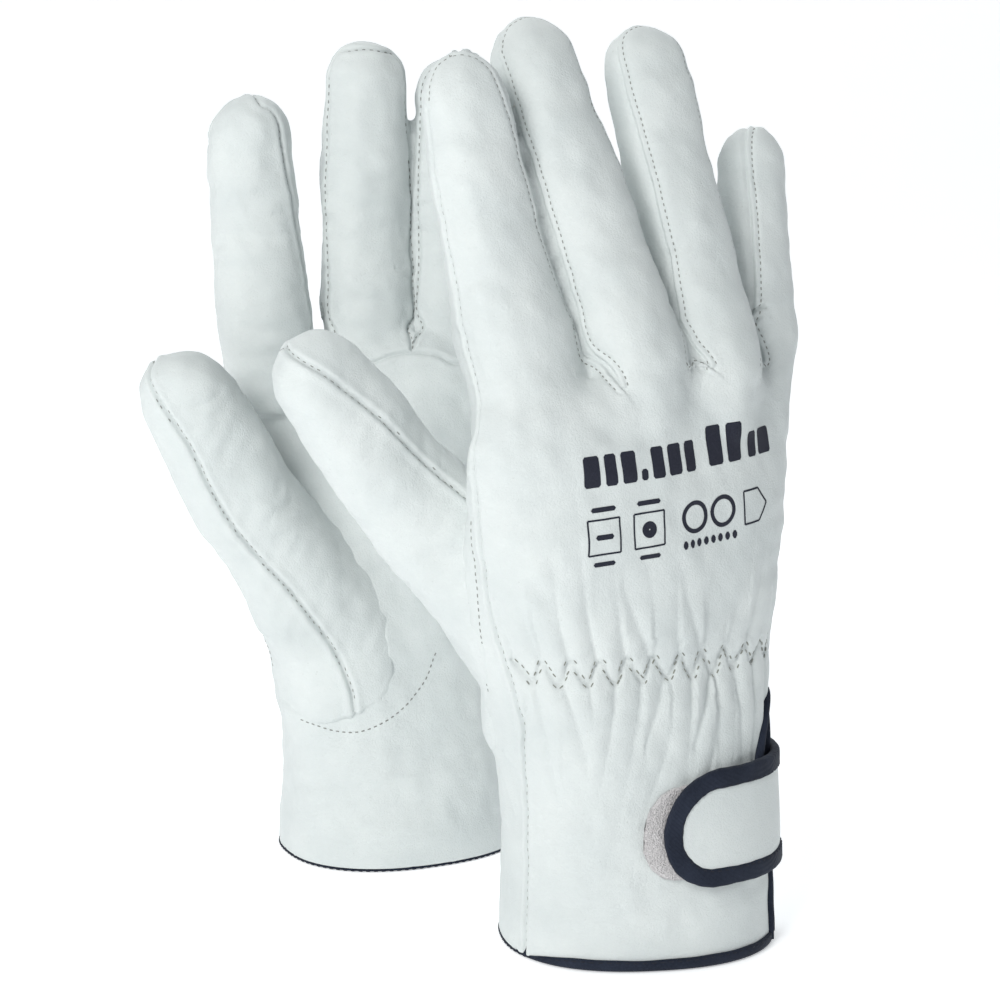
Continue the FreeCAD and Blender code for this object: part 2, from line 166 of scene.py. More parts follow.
def side_pt(side, z, yt, right=False, off=0.0):
    """A point on the hand's surface at y' = yt on the thumb side, or on the far side."""
    z = np.atleast_1d(np.asarray(z, float))
    yt = np.broadcast_to(yt, z.shape)
    r = rows_at(side, z)
    a, b = r[:, 2] + off, r[:, 3] + off
    x = a * (1 - np.minimum(np.abs(yt / b), 0.999) ** SUPER) ** (1 / SUPER) * (1 if right else -1)
    t = np.radians(r[:, 4])
    return np.stack([r[:, 0] + x * np.cos(t) - yt * np.sin(t), r[:, 1] + x * np.sin(t) + yt * np.cos(t), z], 1)


def interp(table, x):
    t = np.array(table, float)
    return np.interp(x, t[:, 0], t[:, 1])


def spline(P, step=0.5):
    """A Catmull-Rom curve through P, at an even spacing."""
    P = np.asarray(P, float)
    if len(P) < 3:
        n = max(2, int(np.linalg.norm(P[-1] - P[0]) / step))
        return P[0] + (P[-1] - P[0]) * np.linspace(0, 1, n)[:, None]
    Q = np.vstack([2 * P[0] - P[1], P, 2 * P[-1] - P[-2]])
    out = []
    for i in range(1, len(Q) - 2):
        t = np.linspace(0, 1, 24, endpoint=False)[:, None]
        a, b, c, d = Q[i - 1], Q[i], Q[i + 1], Q[i + 2]
        out.append(0.5 * (2 * b + (c - a) * t + (2 * a - 5 * b + 4 * c - d) * t ** 2 + (3 * b - a - 3 * c + d) * t ** 3))
    C = np.vstack(out + [P[-1:]])
    s = np.concatenate([[0], np.cumsum(np.linalg.norm(np.diff(C, axis=0), axis=1))])
    n = max(2, int(s[-1] / step))
    return np.stack([np.interp(np.linspace(0, s[-1], n), s, C[:, k]) for k in range(3)], 1)


class Stall:
    def __init__(self, side, spec, thumb=False):
        self.side, self.s, self.thumb = side, spec, thumb
        self.base = np.array(spec["base"], float)
        (f1, s1, self.l1), (f2, s2, self.l2) = spec["runs"]
        self.d1, self.d2 = direction(f1, s1), direction(f2, s2)
        self.mid = self.base + self.d1 * self.l1
        self.L = self.l1 + self.l2
        self.low = None
        if thumb:
            self.low = {"right": [(-32, (-20.5, 8.5, 50)), (-20, (-22, 9.8, 60.5)), (-10, (-23.6, 10.4, 70.5)), (0, (-26, 11, 80))],
                        "left": [(-30, (-16.5, 11.5, 41.5)), (-18, (-17.4, 12.8, 53)), (-8, (-19, 13.6, 62.5)), (0, (-21, 14, 70))]}[side]

    def centre(self, s):
        if s < 0 and self.low:
            t = [r[0] for r in self.low]
            return np.array([np.interp(s, t, [r[1][k] for r in self.low]) for k in range(3)])
        return self.base + self.d1 * s if s <= self.l1 else self.mid + self.d2 * (s - self.l1)

    def section(self, s):
        c = self.centre(s)
        k = min(max((s - self.l1 + 11) / 22, 0), 1)
        k = k * k * (3 - 2 * k)
        d = unit(self.d1 * (1 - k) + self.d2 * k)
        if s < 12 and self.low:
            d = unit(d * (0.5 + s / 24 if s > -12 else 0.0) + np.array([-0.16, 0.08, 0.98]) * (0.5 - s / 24 if s > -12 else 1.0))
        ex = unit(np.array([1.0, 0, 0]) - d * d[0])
        ey = np.cross(d, ex)
        w, h = self.s["w"], self.s["h"]

        def between(v):
            if s <= self.l1:
                return v[0] + (v[1] - v[0]) * max(s, 0) / self.l1
            t = (s - self.l1) / self.l2
            return v[1] + (v[2] - v[1]) * t ** 1.6
        a, b = between(w), between(h)
        if self.thumb:
            if s < 0:
                a = np.interp(s, [-32, -16, 0], [19.0, 20.0, w[0]])
                b = np.interp(s, [-32, -16, 0], [16.0, 16.4, h[0]])
            s0 = self.low[0][0]
            r0 = 15.0
            if s < s0 + r0:
                q = math.sqrt(max(0.0, 1 - ((s0 + r0 - s) / r0) ** 2))
                a, b = a * max(q, 0.02), b * max(q, 0.02)
        r = min(w[2], h[2]) * 1.25
        if s > self.L - r:
            q = math.sqrt(max(0.0, 1 - ((s - self.L + r) / r) ** 2))
            a, b = a * q, b * q
        return c, ex, ey, a, b

    def pt(self, s, deg):
        c, ex, ey, a, b = self.section(s)
        u = math.radians(deg)
        return c + ex * (sgnpow(np.cos(u), 2.25) * a) + ey * (sgnpow(np.sin(u), 2.25) * b)

    def rings(self, stations, n=56, root_blend=True):
        t = np.linspace(0, 2 * math.pi, n, endpoint=False)
        out = []
        for s in stations:
            c, ex, ey, a, b = self.section(s)
            if not self.thumb and s < 6:
                # the stall grows out of the hand: its centre and width settle to the root's below the hinge
                k = min(max((s + 16) / 22, 0), 1)
                k = k * k * (3 - 2 * k)
                rx, ry, rw = self.s["root"]
                low = np.array([rx, ry, self.base[2] + s])
                c = low * (1 - k) + c * k
                a = rw * (1 - k) + a * k
                b = (self.s["h"][0] + 2.0) * (1 - k) + b * k
                ex = unit(np.array([1.0, 0, 0]) * (1 - k) + ex * k)
                ey = unit(np.array([0, 1.0, 0]) * (1 - k) + ey * k)
            if not self.thumb:
                # fuller where it leaves the hand
                f = 1 - min(max((s - 2) / 30, 0), 1)
                f = f * f * (3 - 2 * f)
                a, b = a + 1.1 * f, b + 2.2 * f
            a, b = max(a, 0.25), max(b, 0.25)
            out.append(c + np.outer(sgnpow(np.cos(t), 2.25) * a, ex) + np.outer(sgnpow(np.sin(t), 2.25) * b, ey))
        return out

    def stations(self, s0, step=2.0):
        r = min(self.s["w"][2], self.s["h"][2]) * 1.25
        out = list(np.arange(s0, self.L - r, step))
        out += [self.L - r + r * math.sin(k) for k in np.linspace(0.02, math.pi / 2 - 0.02, 14)]
        return out

    def coords(self, P):
        """Distance up the stall and distance off its axis, for points P."""
        s1 = (P - self.base) @ self.d1
        s2 = (P - self.mid) @ self.d2
        up = s1 > self.l1
        s = np.where(up, self.l1 + s2, s1)
        c = np.where(up[:, None], self.mid + np.outer(s2, self.d2), self.base + np.outer(s1, self.d1))
        return s, np.linalg.norm(P - c, axis=1)


STALLS = {s: {n: Stall(s, FINGERS[s][n]) for n in NAMES} for s in SIDES}
THUMBS = {s: Stall(s, THUMB[s], True) for s in SIDES}


# ---- meshes ---------------------------------------------------------------------------
def closed_loft(rings):
    """Vertices and faces of a closed form through rings of equal count."""
    n = len(rings[0])
    V = np.vstack(rings + [rings[0].mean(0)[None], rings[-1].mean(0)[None]])
    F = []
    for i in range(len(rings) - 1):
        for j in range(n):
            k = (j + 1) % n
            F.append((i * n + j, i * n + k, (i + 1) * n + k, (i + 1) * n + j))
    a, b = len(rings) * n, len(rings) * n + 1
    top = (len(rings) - 1) * n
    for j in range(n):
        k = (j + 1) % n
        F.append((a, k, j))
        F.append((b, top + j, top + k))
    return V, F


def evaluated(ob):
    dg = bpy.context.evaluated_depsgraph_get()
    me = bpy.data.meshes.new_from_object(ob.evaluated_get(dg))
    old = ob.data
    bpy.data.objects.remove(ob)
    bpy.data.meshes.remove(old)
    return me


def temp(V, F):
    me = bpy.data.meshes.new("t")
    me.from_pydata(np.asarray(V).tolist(), [], [tuple(int(i) for i in f) for f in F])
    ob = bpy.data.objects.new("t", me)
    bpy.context.scene.collection.objects.link(ob)
    return ob


def arrays(me):
    V = np.empty(len(me.vertices) * 3)
    me.vertices.foreach_get("co", V)
    V = V.reshape(-1, 3)
    F = [tuple(p.vertices) for p in me.polygons]
    E = np.empty(len(me.edges) * 2, int)
    me.edges.foreach_get("vertices", E)
    return V, F, E.reshape(-1, 2)


def remeshed(V, F, voxel, sub=0):
    ob = temp(V, F)
    m = ob.modifiers.new("r", "REMESH")
    m.mode, m.voxel_size, m.adaptivity = "VOXEL", voxel, 0.0
    me = evaluated(ob)
    out = arrays(me)
    bpy.data.meshes.remove(me)
    return out


def subdivided(V, F, levels=1):
    ob = temp(V, F)
    m = ob.modifiers.new("s", "SUBSURF")
    m.levels = m.render_levels = levels
    me = evaluated(ob)
    out = arrays(me)
    bpy.data.meshes.remove(me)
    return out


def smooth(V, E, rounds, lam=0.5, mu=None, weight=None):
    n = len(V)
    deg = np.maximum(np.bincount(E.ravel(), minlength=n), 1)[:, None]
    w = 1.0 if weight is None else weight[:, None]
    for i in range(rounds):
        for f in ((lam,) if mu is None else (lam, mu)):
            S = np.stack([np.bincount(E[:, 0], V[E[:, 1], k], n) + np.bincount(E[:, 1], V[E[:, 0], k], n) for k in range(3)], 1)
            V = V + f * w * (S / deg - V)
    return V


def tri_array(F):
    T = []
    for f in F:
        for k in range(1, len(f) - 1):
            T.append((f[0], f[k], f[k + 1]))
    return np.array(T, int)


def normals(V, T):
    n = np.cross(V[T[:, 1]] - V[T[:, 0]], V[T[:, 2]] - V[T[:, 0]])
    N = np.zeros_like(V)
    for c in range(3):
        for k in range(3):
            N[:, k] += np.bincount(T[:, c], n[:, k], len(V))
    return N / np.maximum(np.linalg.norm(N, axis=1), 1e-12)[:, None]


def bvh(V, F):
    return BVHTree.FromPolygons([Vector(v) for v in V], [tuple(int(i) for i in f) for f in F])


def snap(tree, P):
    Q, N = [], []
    for p in P:
        q, n, i, d = tree.find_nearest(Vector(p))
        Q.append(q)
        N.append(n)
    return np.array(Q, float), np.array(N, float)


def signed(tree, P):
    out = np.empty(len(P))
    for i, p in enumerate(P):
        q, n, k, d = tree.find_nearest(Vector(p), 30.0)
        if q is None:
            out[i] = 30.0
            continue
        v = Vector(p) - q
        out[i] = d if v.dot(n) >= 0 else -d
    return out


def refine(V, F, near):
    """Halves the faces whose corners are all near a seam."""
    me = bpy.data.meshes.new("t")
    me.from_pydata(V.tolist(), [], F)
    bm = bmesh.new()
    bm.from_mesh(me)
    bm.verts.ensure_lookup_table()
    edges = [e for e in bm.edges if near[e.verts[0].index] and near[e.verts[1].index]]
    bmesh.ops.subdivide_edges(bm, edges=edges, cuts=1, use_grid_fill=True)
    bmesh.ops.triangulate(bm, faces=[f for f in bm.faces if len(f.verts) > 4])
    bm.to_mesh(me)
    bm.free()
    out = arrays(me)
    bpy.data.meshes.remove(me)
    return out


# ---- seams as curves on a surface -------------------------------------------------------
class Seam:
    """A curve on a surface. kind: lap (one panel folded over and topstitched), in (a plain seam), fold (a soft crease).
    toward: a point on the side that lies on top."""

    def __init__(self, pts, kind, toward=None, stitch=None, amp=1.0, width=1.0, dense=0.5):
        self.raw, self.kind, self.toward, self.stitch, self.amp, self.width, self.dense = spline(pts, dense), kind, toward, stitch, amp, width, dense

    def snap(self, tree):
        P, N = snap(tree, self.raw)
        keep = np.concatenate([[True], np.linalg.norm(np.diff(P, axis=0), axis=1) > 0.02])
        P, N = P[keep], N[keep]
        for _ in range(3):
            P[1:-1] = (P[:-2] + P[1:-1] * 2 + P[2:]) / 4
        self.P, self.N = P, N
        T = np.gradient(P, axis=0)
        self.T = T / np.maximum(np.linalg.norm(T, axis=1), 1e-9)[:, None]
        B = np.cross(self.T, N)
        self.B = B / np.maximum(np.linalg.norm(B, axis=1), 1e-9)[:, None]
        if self.toward is not None:
            ref = self.toward(P) if callable(self.toward) else np.asarray(self.toward, float)
            side = ((ref - P) * self.B).sum(1)
            self.B = self.B * np.where(side < 0, -1.0, 1.0)[:, None]
        s = np.concatenate([[0], np.cumsum(np.linalg.norm(np.diff(P, axis=0), axis=1))])
        self.s = s
        x = s / max(s[-1], 1e-9)
        self.fade = np.ones(len(P)) if self.kind != "fold" else np.sin(np.pi * np.clip(x, 0, 1)) ** 0.7


def seam_field(seams, kind, V, mask):
    """Displacement along the normal that a kind of seam makes."""
    use = [c for c in seams if c.kind == kind]
    out = np.zeros(len(V))
    if not use:
        return out
    P = np.vstack([c.P for c in use])
    B = np.vstack([c.B for c in use])
    N = np.vstack([c.N for c in use])
    A = np.concatenate([c.amp * c.fade for c in use])
    W = np.concatenate([np.full(len(c.P), c.width) for c in use])
    kd = kdtree.KDTree(len(P))
    for i, p in enumerate(P):
        kd.insert(p, i)
    kd.balance()
    idx = np.nonzero(mask)[0]
    near = np.array([kd.find(V[i])[1:] for i in idx])
    j, dist = near[:, 0].astype(int), near[:, 1]
    v = V[idx] - P[j]
    l = (v * B[j]).sum(1)
    flat = np.sqrt(np.maximum(dist ** 2 - (v * N[j]).sum(1) ** 2, 0))
    sgn = np.where(l < 0, -1.0, 1.0)
    d = flat * sgn
    w = W[j]
    ok = dist < 9.0
    if kind == "lap":
        h = np.where(d >= 0, 0.55 * np.exp(-(d / 5.0) ** 2), -0.5 * np.exp(-(d / 1.3) ** 2))
        h = np.where(np.abs(d) < 0.35, 0.025 + 0.525 * d / 0.35, h)
        h -= 0.28 * np.exp(-((d - 1.7) / 0.5) ** 2)
    elif kind == "in":
        h = -0.95 * np.exp(-(d / (0.5 * w)) ** 2) + 0.34 * np.exp(-((np.abs(d) - 1.7) / 1.1) ** 2)
    else:
        h = -np.exp(-(d / w) ** 2) + 0.45 * np.exp(-((np.abs(d) - 1.8 * w) / w) ** 2)
    out[idx] = np.where(ok, h * A[j], 0.0)
    return out


WAVES = {}


def waves(P, seed, low, high, count=14):
    """Soft unevenness: a sum of slow waves in all directions."""
    if seed not in WAVES:
        r = np.random.RandomState(seed)
        k = r.normal(size=(count, 3))
        k /= np.linalg.norm(k, axis=1)[:, None]
        lam = r.uniform(low, high, count)
        WAVES[seed] = (k * (2 * math.pi / lam)[:, None], r.uniform(0, 6.28, count))
    k, ph = WAVES[seed]
    return np.sin(P @ k.T + ph).sum(1) / math.sqrt(len(ph) / 2)


# ---- the gathered wrist -------------------------------------------------------------------
ARC = {}


def arc_table(side):
    """Arc length round the back of the section at the elastic, from the thumb-side seam on."""
    if side not in ARC:
        deg = np.linspace(-190, 5, 800)
        P = hand_pt(side, np.full(800, ELASTIC_AT), deg)
        ARC[side] = (deg, np.concatenate([[0], np.cumsum(np.linalg.norm(np.diff(P, axis=0), axis=1))]))
    return ARC[side]


def section_angle(side, P):
    x, y, r = turned(side, P)
    c = np.sign(x) * np.abs(x / r[:, 2]) ** (SUPER / 2)
    s = np.sign(y) * np.abs(y / r[:, 3]) ** (SUPER / 2)
    deg = np.degrees(np.arctan2(s, c))
    return np.where(deg > 90, deg - 360, deg)


def peak_zero(side):
    deg, arc = arc_table(side)
    P = hand_pt(side, np.full(len(deg), ELASTIC_AT), deg)
    i = np.argmin(np.abs(P[:, 0] + 26.2) + (P[:, 1] > 0) * 100)
    return arc[i] % ZIG_P


def gathers(side, P):
    deg, arc = arc_table(side)
    t = section_angle(side, P)
    u = np.interp(t, deg, arc)
    z = P[:, 2]
    phase = (u - peak_zero(side)) / ZIG_P
    col = np.floor(phase + 0.5).astype(int)
    rnd = np.random.RandomState(11 if side == "right" else 12)
    amp, up, dn, lean = rnd.uniform(0.65, 1.25, 64), rnd.uniform(6, 17, 64), rnd.uniform(9, 20, 64), rnd.uniform(-0.05, 0.05, 64)
    lo_edge, hi_edge = np.interp(-171, deg, arc), np.interp(-14, deg, arc)
    edge = np.clip((u - lo_edge) / 6, 0, 1) * np.clip((hi_edge - u) / 6, 0, 1)
    edge = edge * edge * (3 - 2 * edge)
    dz = z - ELASTIC_AT
    out = np.zeros(len(P))
    below = dz < 0
    ph = phase + lean[col % 64] * dz
    f = np.abs(np.cos(math.pi * ph)) ** 0.75          # 1 at a peak's column, 0 midway
    a = amp[col % 64] * (1 - np.exp(dz / 3.2)) * np.exp(dz / dn[col % 64])
    out = np.where(below, (f - 0.58) * 2.4 * a, out)
    col2 = np.floor(phase).astype(int)
    f2 = np.abs(np.sin(math.pi * (phase + lean[(col2 + 9) % 64] * dz))) ** 0.8
    a2 = amp[(col2 + 5) % 64] * (1 - np.exp(-dz / 3.2)) * np.exp(-dz / up[(col2 + 5) % 64])
    out = np.where(below, out, (f2 - 0.58) * 2.2 * a2)
    out -= 1.5 * np.exp(-(dz / 6.5) ** 2)
    out *= edge
    near = np.abs(dz) < 60
    return np.where(near, out, 0.0)


def zigzag(side, per=12):
    """The zigzag's corners on the section, as (angle, height)."""
    deg, arc = arc_table(side)
    lo, hi = np.interp(-170, deg, arc), np.interp(-16, deg, arc)
    z0 = peak_zero(side)
    out = []
    k = math.ceil((lo - z0) / (ZIG_P / 2))
    while z0 + k * ZIG_P / 2 < hi:
        u = z0 + k * ZIG_P / 2
        out.append((float(np.interp(u, arc, deg)), ELASTIC_AT + (ZIG_H / 2 if k % 2 == 0 else -ZIG_H / 2)))
        k += 1
    return out


# ---- materials ------------------------------------------------------------------------------
def mat(name):
    m = bpy.data.materials.new(name)
    m.use_nodes = True
    nt = m.node_tree
    nt.nodes.clear()
    out = nt.nodes.new("ShaderNodeOutputMaterial")
    b = nt.nodes.new("ShaderNodeBsdfPrincipled")
    nt.links.new(b.outputs[0], out.inputs[0])
    tc = nt.nodes.new("ShaderNodeTexCoord")
    mp = nt.nodes.new("ShaderNodeMapping")
    mp.inputs["Scale"].default_value = (1000, 1000, 1000)
    nt.links.new(tc.outputs["Object"], mp.inputs["Vector"])
    return m, nt, b, mp


def noise(nt, vec, scale, detail=2.0, rough=0.5, kind=None, distort=0.0):
    n = nt.nodes.new("ShaderNodeTexNoise")
    n.inputs["Scale"].default_value = scale
    n.inputs["Detail"].default_value = detail
    n.inputs["Roughness"].default_value = rough
    n.inputs["Distortion"].default_value = distort
    if kind:
        n.noise_type = kind
    nt.links.new(vec.outputs[0], n.inputs["Vector"])
    return n


def ramp(nt, src, stops):
    r = nt.nodes.new("ShaderNodeValToRGB")
    while len(r.color_ramp.elements) > 1:
        r.color_ramp.elements.remove(r.color_ramp.elements[-1])
    for i, (p, c) in enumerate(stops):
        e = r.color_ramp.elements[0] if i == 0 else r.color_ramp.elements.new(p)
        e.position = p
        e.color = (c[0], c[1], c[2], 1) if isinstance(c, tuple) else (c, c, c, 1)
    nt.links.new(src, r.inputs[0])
    return r


def mix(nt, fac, a, b, mode="MIX"):
    m = nt.nodes.new("ShaderNodeMix")
    m.data_type = "RGBA"
    m.blend_type = mode
    if isinstance(fac, float):
        m.inputs[0].default_value = fac
    else:
        nt.links.new(fac, m.inputs[0])
    for i, v in ((6, a), (7, b)):
        if isinstance(v, tuple):
            m.inputs[i].default_value = (v[0], v[1], v[2], 1)
        else:
            nt.links.new(v, m.inputs[i])
    return m.outputs[2]


def bump(nt, height, strength, dist, prev=None):
    b = nt.nodes.new("ShaderNodeBump")
    b.inputs["Strength"].default_value = strength
    b.inputs["Distance"].default_value = dist
    nt.links.new(height, b.inputs["Height"])
    if prev is not None:
        nt.links.new(prev, b.inputs["Normal"])
    return b.outputs[0]


def leather(name, a, b, speck=0.0, grain=1.0, rough=(0.50, 0.66)):
    m, nt, bs, mp = mat(name)
    big = noise(nt, mp, 0.05, 3.0)
    mid = noise(nt, mp, 0.33, 4.0, 0.6)
    base = ramp(nt, big.outputs[0], [(0.32, a), (0.7, b)]).outputs[0]
    base = mix(nt, ramp(nt, mid.outputs[0], [(0.35, 0.0), (0.75, 0.16)]).outputs[0], base, (b[0] * 0.93, b[1] * 0.94, b[2] * 0.95))
    fine = noise(nt, mp, 2.2, 3.0, 0.6)
    base = mix(nt, ramp(nt, fine.outputs[0], [(0.4, 0.0), (0.72, 0.10)]).outputs[0], base, (b[0] * 0.86, b[1] * 0.88, b[2] * 0.9))
    if speck:
        v = nt.nodes.new("ShaderNodeTexVoronoi")
        v.inputs["Scale"].default_value = 0.36
        nt.links.new(mp.outputs[0], v.inputs["Vector"])
        patch = noise(nt, mp, 0.06, 2.0)
        dots = ramp(nt, v.outputs["Distance"], [(0.0, speck), (0.075, speck), (0.11, 0.0)]).outputs[0]
        dots = mix(nt, ramp(nt, patch.outputs[0], [(0.48, 0.0), (0.62, 1.0)]).outputs[0], (0.0, 0.0, 0.0), dots)
        base = mix(nt, dots, base, (0.36, 0.36, 0.33))
    nt.links.new(base, bs.inputs["Base Color"])
    r = nt.nodes.new("ShaderNodeMapRange")
    r.inputs["To Min"].default_value, r.inputs["To Max"].default_value = rough
    nt.links.new(mid.outputs[0], r.inputs["Value"])
    nt.links.new(r.outputs[0], bs.inputs["Roughness"])
    bs.inputs["Specular IOR Level"].default_value = 0.35
    bs.inputs["Sheen Weight"].default_value = 0.08
    bs.inputs["Sheen Roughness"].default_value = 0.5
    warp = noise(nt, mp, 0.8, 2.0)
    add = nt.nodes.new("ShaderNodeVectorMath")
    add.operation = "ADD"
    sc = nt.nodes.new("ShaderNodeVectorMath")
    sc.operation = "SCALE"
    sc.inputs["Scale"].default_value = 0.9
    nt.links.new(warp.outputs["Color"], sc.inputs[0])
    nt.links.new(mp.outputs[0], add.inputs[0])
    nt.links.new(sc.outputs[0], add.inputs[1])
    cell = nt.nodes.new("ShaderNodeTexVoronoi")
    cell.feature = "DISTANCE_TO_EDGE"
    cell.inputs["Scale"].default_value = 1.15
    nt.links.new(add.outputs[0], cell.inputs["Vector"])
    cells = ramp(nt, cell.outputs["Distance"], [(0.0, 0.0), (0.16, 0.8), (0.5, 1.0)])
    crease = noise(nt, mp, 0.42, 5.0, 0.55, "RIDGED_MULTIFRACTAL", 0.6)
    n1 = bump(nt, cells.outputs[0], 0.30 * grain, 0.00016)
    n2 = bump(nt, fine.outputs[0], 0.5 * grain, 0.0002, n1)
    n3 = bump(nt, crease.outputs[0], 0.16 * grain, 0.0004, n2)
    n4 = bump(nt, mid.outputs[0], 0.35, 0.0006, n3)
    nt.links.new(n4, bs.inputs["Normal"])
    return m


def tape(name, dark, light, rough=0.72):
    """Woven bias tape: fine diagonal twill with a little lint."""
    m, nt, bs, mp = mat(name)
    mp.inputs["Rotation"].default_value = (0.3, 0.5, 0.78)
    w = nt.nodes.new("ShaderNodeTexWave")
    w.inputs["Scale"].default_value = 0.55
    w.inputs["Distortion"].default_value = 1.2
    w.inputs["Detail"].default_value = 2.0
    nt.links.new(mp.outputs[0], w.inputs["Vector"])
    n = noise(nt, mp, 1.6, 3.0)
    big = noise(nt, mp, 0.12, 2.0)
    base = mix(nt, ramp(nt, n.outputs[0], [(0.35, 0.0), (0.8, 0.8)]).outputs[0], dark, light)
    base = mix(nt, ramp(nt, big.outputs[0], [(0.4, 0.0), (0.7, 0.35)]).outputs[0], base, (light[0] * 1.5, light[1] * 1.5, light[2] * 1.5))
    nt.links.new(base, bs.inputs["Base Color"])
    r = nt.nodes.new("ShaderNodeMapRange")
    r.inputs["To Min"].default_value, r.inputs["To Max"].default_value = rough - 0.1, rough + 0.08
    nt.links.new(n.outputs[0], r.inputs["Value"])
    nt.links.new(r.outputs[0], bs.inputs["Roughness"])
    bs.inputs["Specular IOR Level"].default_value = 0.12
    bs.inputs["Sheen Weight"].default_value = 0.04
    n1 = bump(nt, w.outputs[0], 0.3, 0.0002)
    nt.links.new(bump(nt, n.outputs[0], 0.4, 0.0002, n1), bs.inputs["Normal"])
    return m


def fuzz(name, dark, light, scale=2.4):
    m, nt, bs, mp = mat(name)
    n = noise(nt, mp, scale, 4.0, 0.7)
    v = nt.nodes.new("ShaderNodeTexVoronoi")
    v.inputs["Scale"].default_value = scale * 0.8
    nt.links.new(mp.outputs[0], v.inputs["Vector"])
    base = mix(nt, ramp(nt, n.outputs[0], [(0.3, 0.0), (0.7, 1.0)]).outputs[0], dark, light)
    nt.links.new(base, bs.inputs["Base Color"])
    bs.inputs["Roughness"].default_value = 0.95
    bs.inputs["Sheen Weight"].default_value = 0.3
    bs.inputs["Specular IOR Level"].default_value = 0.15
    n1 = bump(nt, v.outputs["Distance"], 0.8, 0.0005)
    nt.links.new(bump(nt, n.outputs[0], 0.7, 0.0005, n1), bs.inputs["Normal"])
    return m


def plainish(name, a, b, rough, scale=1.5, bumps=0.2):
    m, nt, bs, mp = mat(name)
    n = noise(nt, mp, scale, 3.0)
    nt.links.new(mix(nt, n.outputs[0], a, b), bs.inputs["Base Color"])
    r = nt.nodes.new("ShaderNodeMapRange")
    r.inputs["To Min"].default_value, r.inputs["To Max"].default_value = rough - 0.06, rough + 0.08
    nt.links.new(n.outputs[0], r.inputs["Value"])
    nt.links.new(r.outputs[0], bs.inputs["Roughness"])
    nt.links.new(bump(nt, n.outputs[0], bumps, 0.0002), bs.inputs["Normal"])
    bs.inputs["Specular IOR Level"].default_value = 0.15
    return m


M = {
    "leather": leather("grain_leather", (0.655, 0.69, 0.683), (0.595, 0.635, 0.632), 0.22),
    "inside": leather("flesh_side", (0.66, 0.66, 0.63), (0.60, 0.60, 0.57), 0.0, 1.6, (0.85, 0.95)),
    "binding": tape("dark_tape", (0.012, 0.016, 0.028), (0.022, 0.028, 0.045)),
    "thread": plainish("seam_thread", (0.20, 0.21, 0.20), (0.33, 0.34, 0.32), 0.75),
    "thread_dark": plainish("zigzag_thread", (0.19, 0.20, 0.18), (0.31, 0.32, 0.28), 0.75),
    "thread_black": plainish("tape_thread", (0.010, 0.012, 0.02), (0.03, 0.033, 0.045), 0.6),
    "loop": fuzz("loop_pile", (0.52, 0.50, 0.51), (0.74, 0.72, 0.72)),
    "hook": fuzz("hook_tape_face", (0.62, 0.62, 0.60), (0.78, 0.78, 0.76), 3.2),
    "elastic": tape("ribbed_elastic", (0.62, 0.62, 0.58), (0.70, 0.70, 0.66), 0.85),
    "ink": plainish("print_ink", (0.010, 0.011, 0.02), (0.035, 0.038, 0.055), 0.55, 2.5, 0.1),
}


def build(name, side, V, F, material, body=None, bend=None, nodes=(), slot=None, smooth_shade=True):
    """One named piece from vertices in the glove's frame."""
    V = np.asarray(V, float)
    W = place(side, V)
    F = [tuple(int(i) for i in f) for f in F]
    if PLACE[side]["mirror"] < 0:
        F = [f[::-1] for f in F]
    me = bpy.data.meshes.new(name)
    me.from_pydata(W.tolist(), [], F)
    me.materials.append(material)
    me.polygons.foreach_set("use_smooth", [smooth_shade] * len(me.polygons))
    me.update()
    ob = bpy.data.objects.new(name, me)
    bpy.context.scene.collection.objects.link(ob)
    if bend:
        a, b, s, e = bend
        tuple(place(side, s)[0])
        tuple(place(side, e)[0])
        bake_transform(ob)
    else:
        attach(ob, body)
    if nodes:
        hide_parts(*nodes)
    return ob


def subset(V, F, keep):
    """The faces picked by keep, with their own vertices only."""
    F = [f for f, k in zip(F, keep) if k]
    if not F:
        return None
    used = np.unique(np.concatenate([np.array(f) for f in F]))
    new = np.full(len(V), -1)
    new[used] = np.arange(len(used))
    return V[used], [tuple(new[list(f)]) for f in F]


def bends(side):
    """Where each soft piece would bend between two bodies: piece key -> (body a, body b, start, end)."""
    out = {}
    for n in NAMES:
        st = STALLS[side][n]
        out[n + "_low"] = (f"{side}_hand", f"{side}_{n}_lower", st.base - st.d1 * 1.0, st.base + st.d1 * 13.0)
        out[n + "_end"] = (f"{side}_{n}_lower", f"{side}_{n}_tip", st.mid - st.d1 * 9.0, st.mid + st.d1 * 9.0)
    st = THUMBS[side]
    out["thumb_low"] = (f"{side}_hand", f"{side}_thumb_lower", st.base - st.d1 * 4.0, st.base + st.d1 * 22.0)
    out["thumb_end"] = (f"{side}_thumb_lower", f"{side}_thumb_tip", st.mid - st.d1 * 10.0, st.mid + st.d1 * 10.0)
    return out


def finger_region(side, P):
    """For points of the hand-and-fingers form: hand, or a finger's low or end piece, as an integer 0, 1.. (two per finger)."""
    best = np.full(len(P), 1e9)
    out = np.zeros(len(P), int)
    for i, n in enumerate(NAMES):
        st = STALLS[side][n]
        s, d = st.coords(P)
        rel = d / st.s["w"][0]
        code = np.where(s < -1.0, 0, np.where(s < st.l1 * 0.5, 1 + 2 * i, 2 + 2 * i))
        take = (rel < best) & (P[:, 2] > 150)
        best = np.where(take, rel, best)
        out = np.where(take, code, out)
    return out


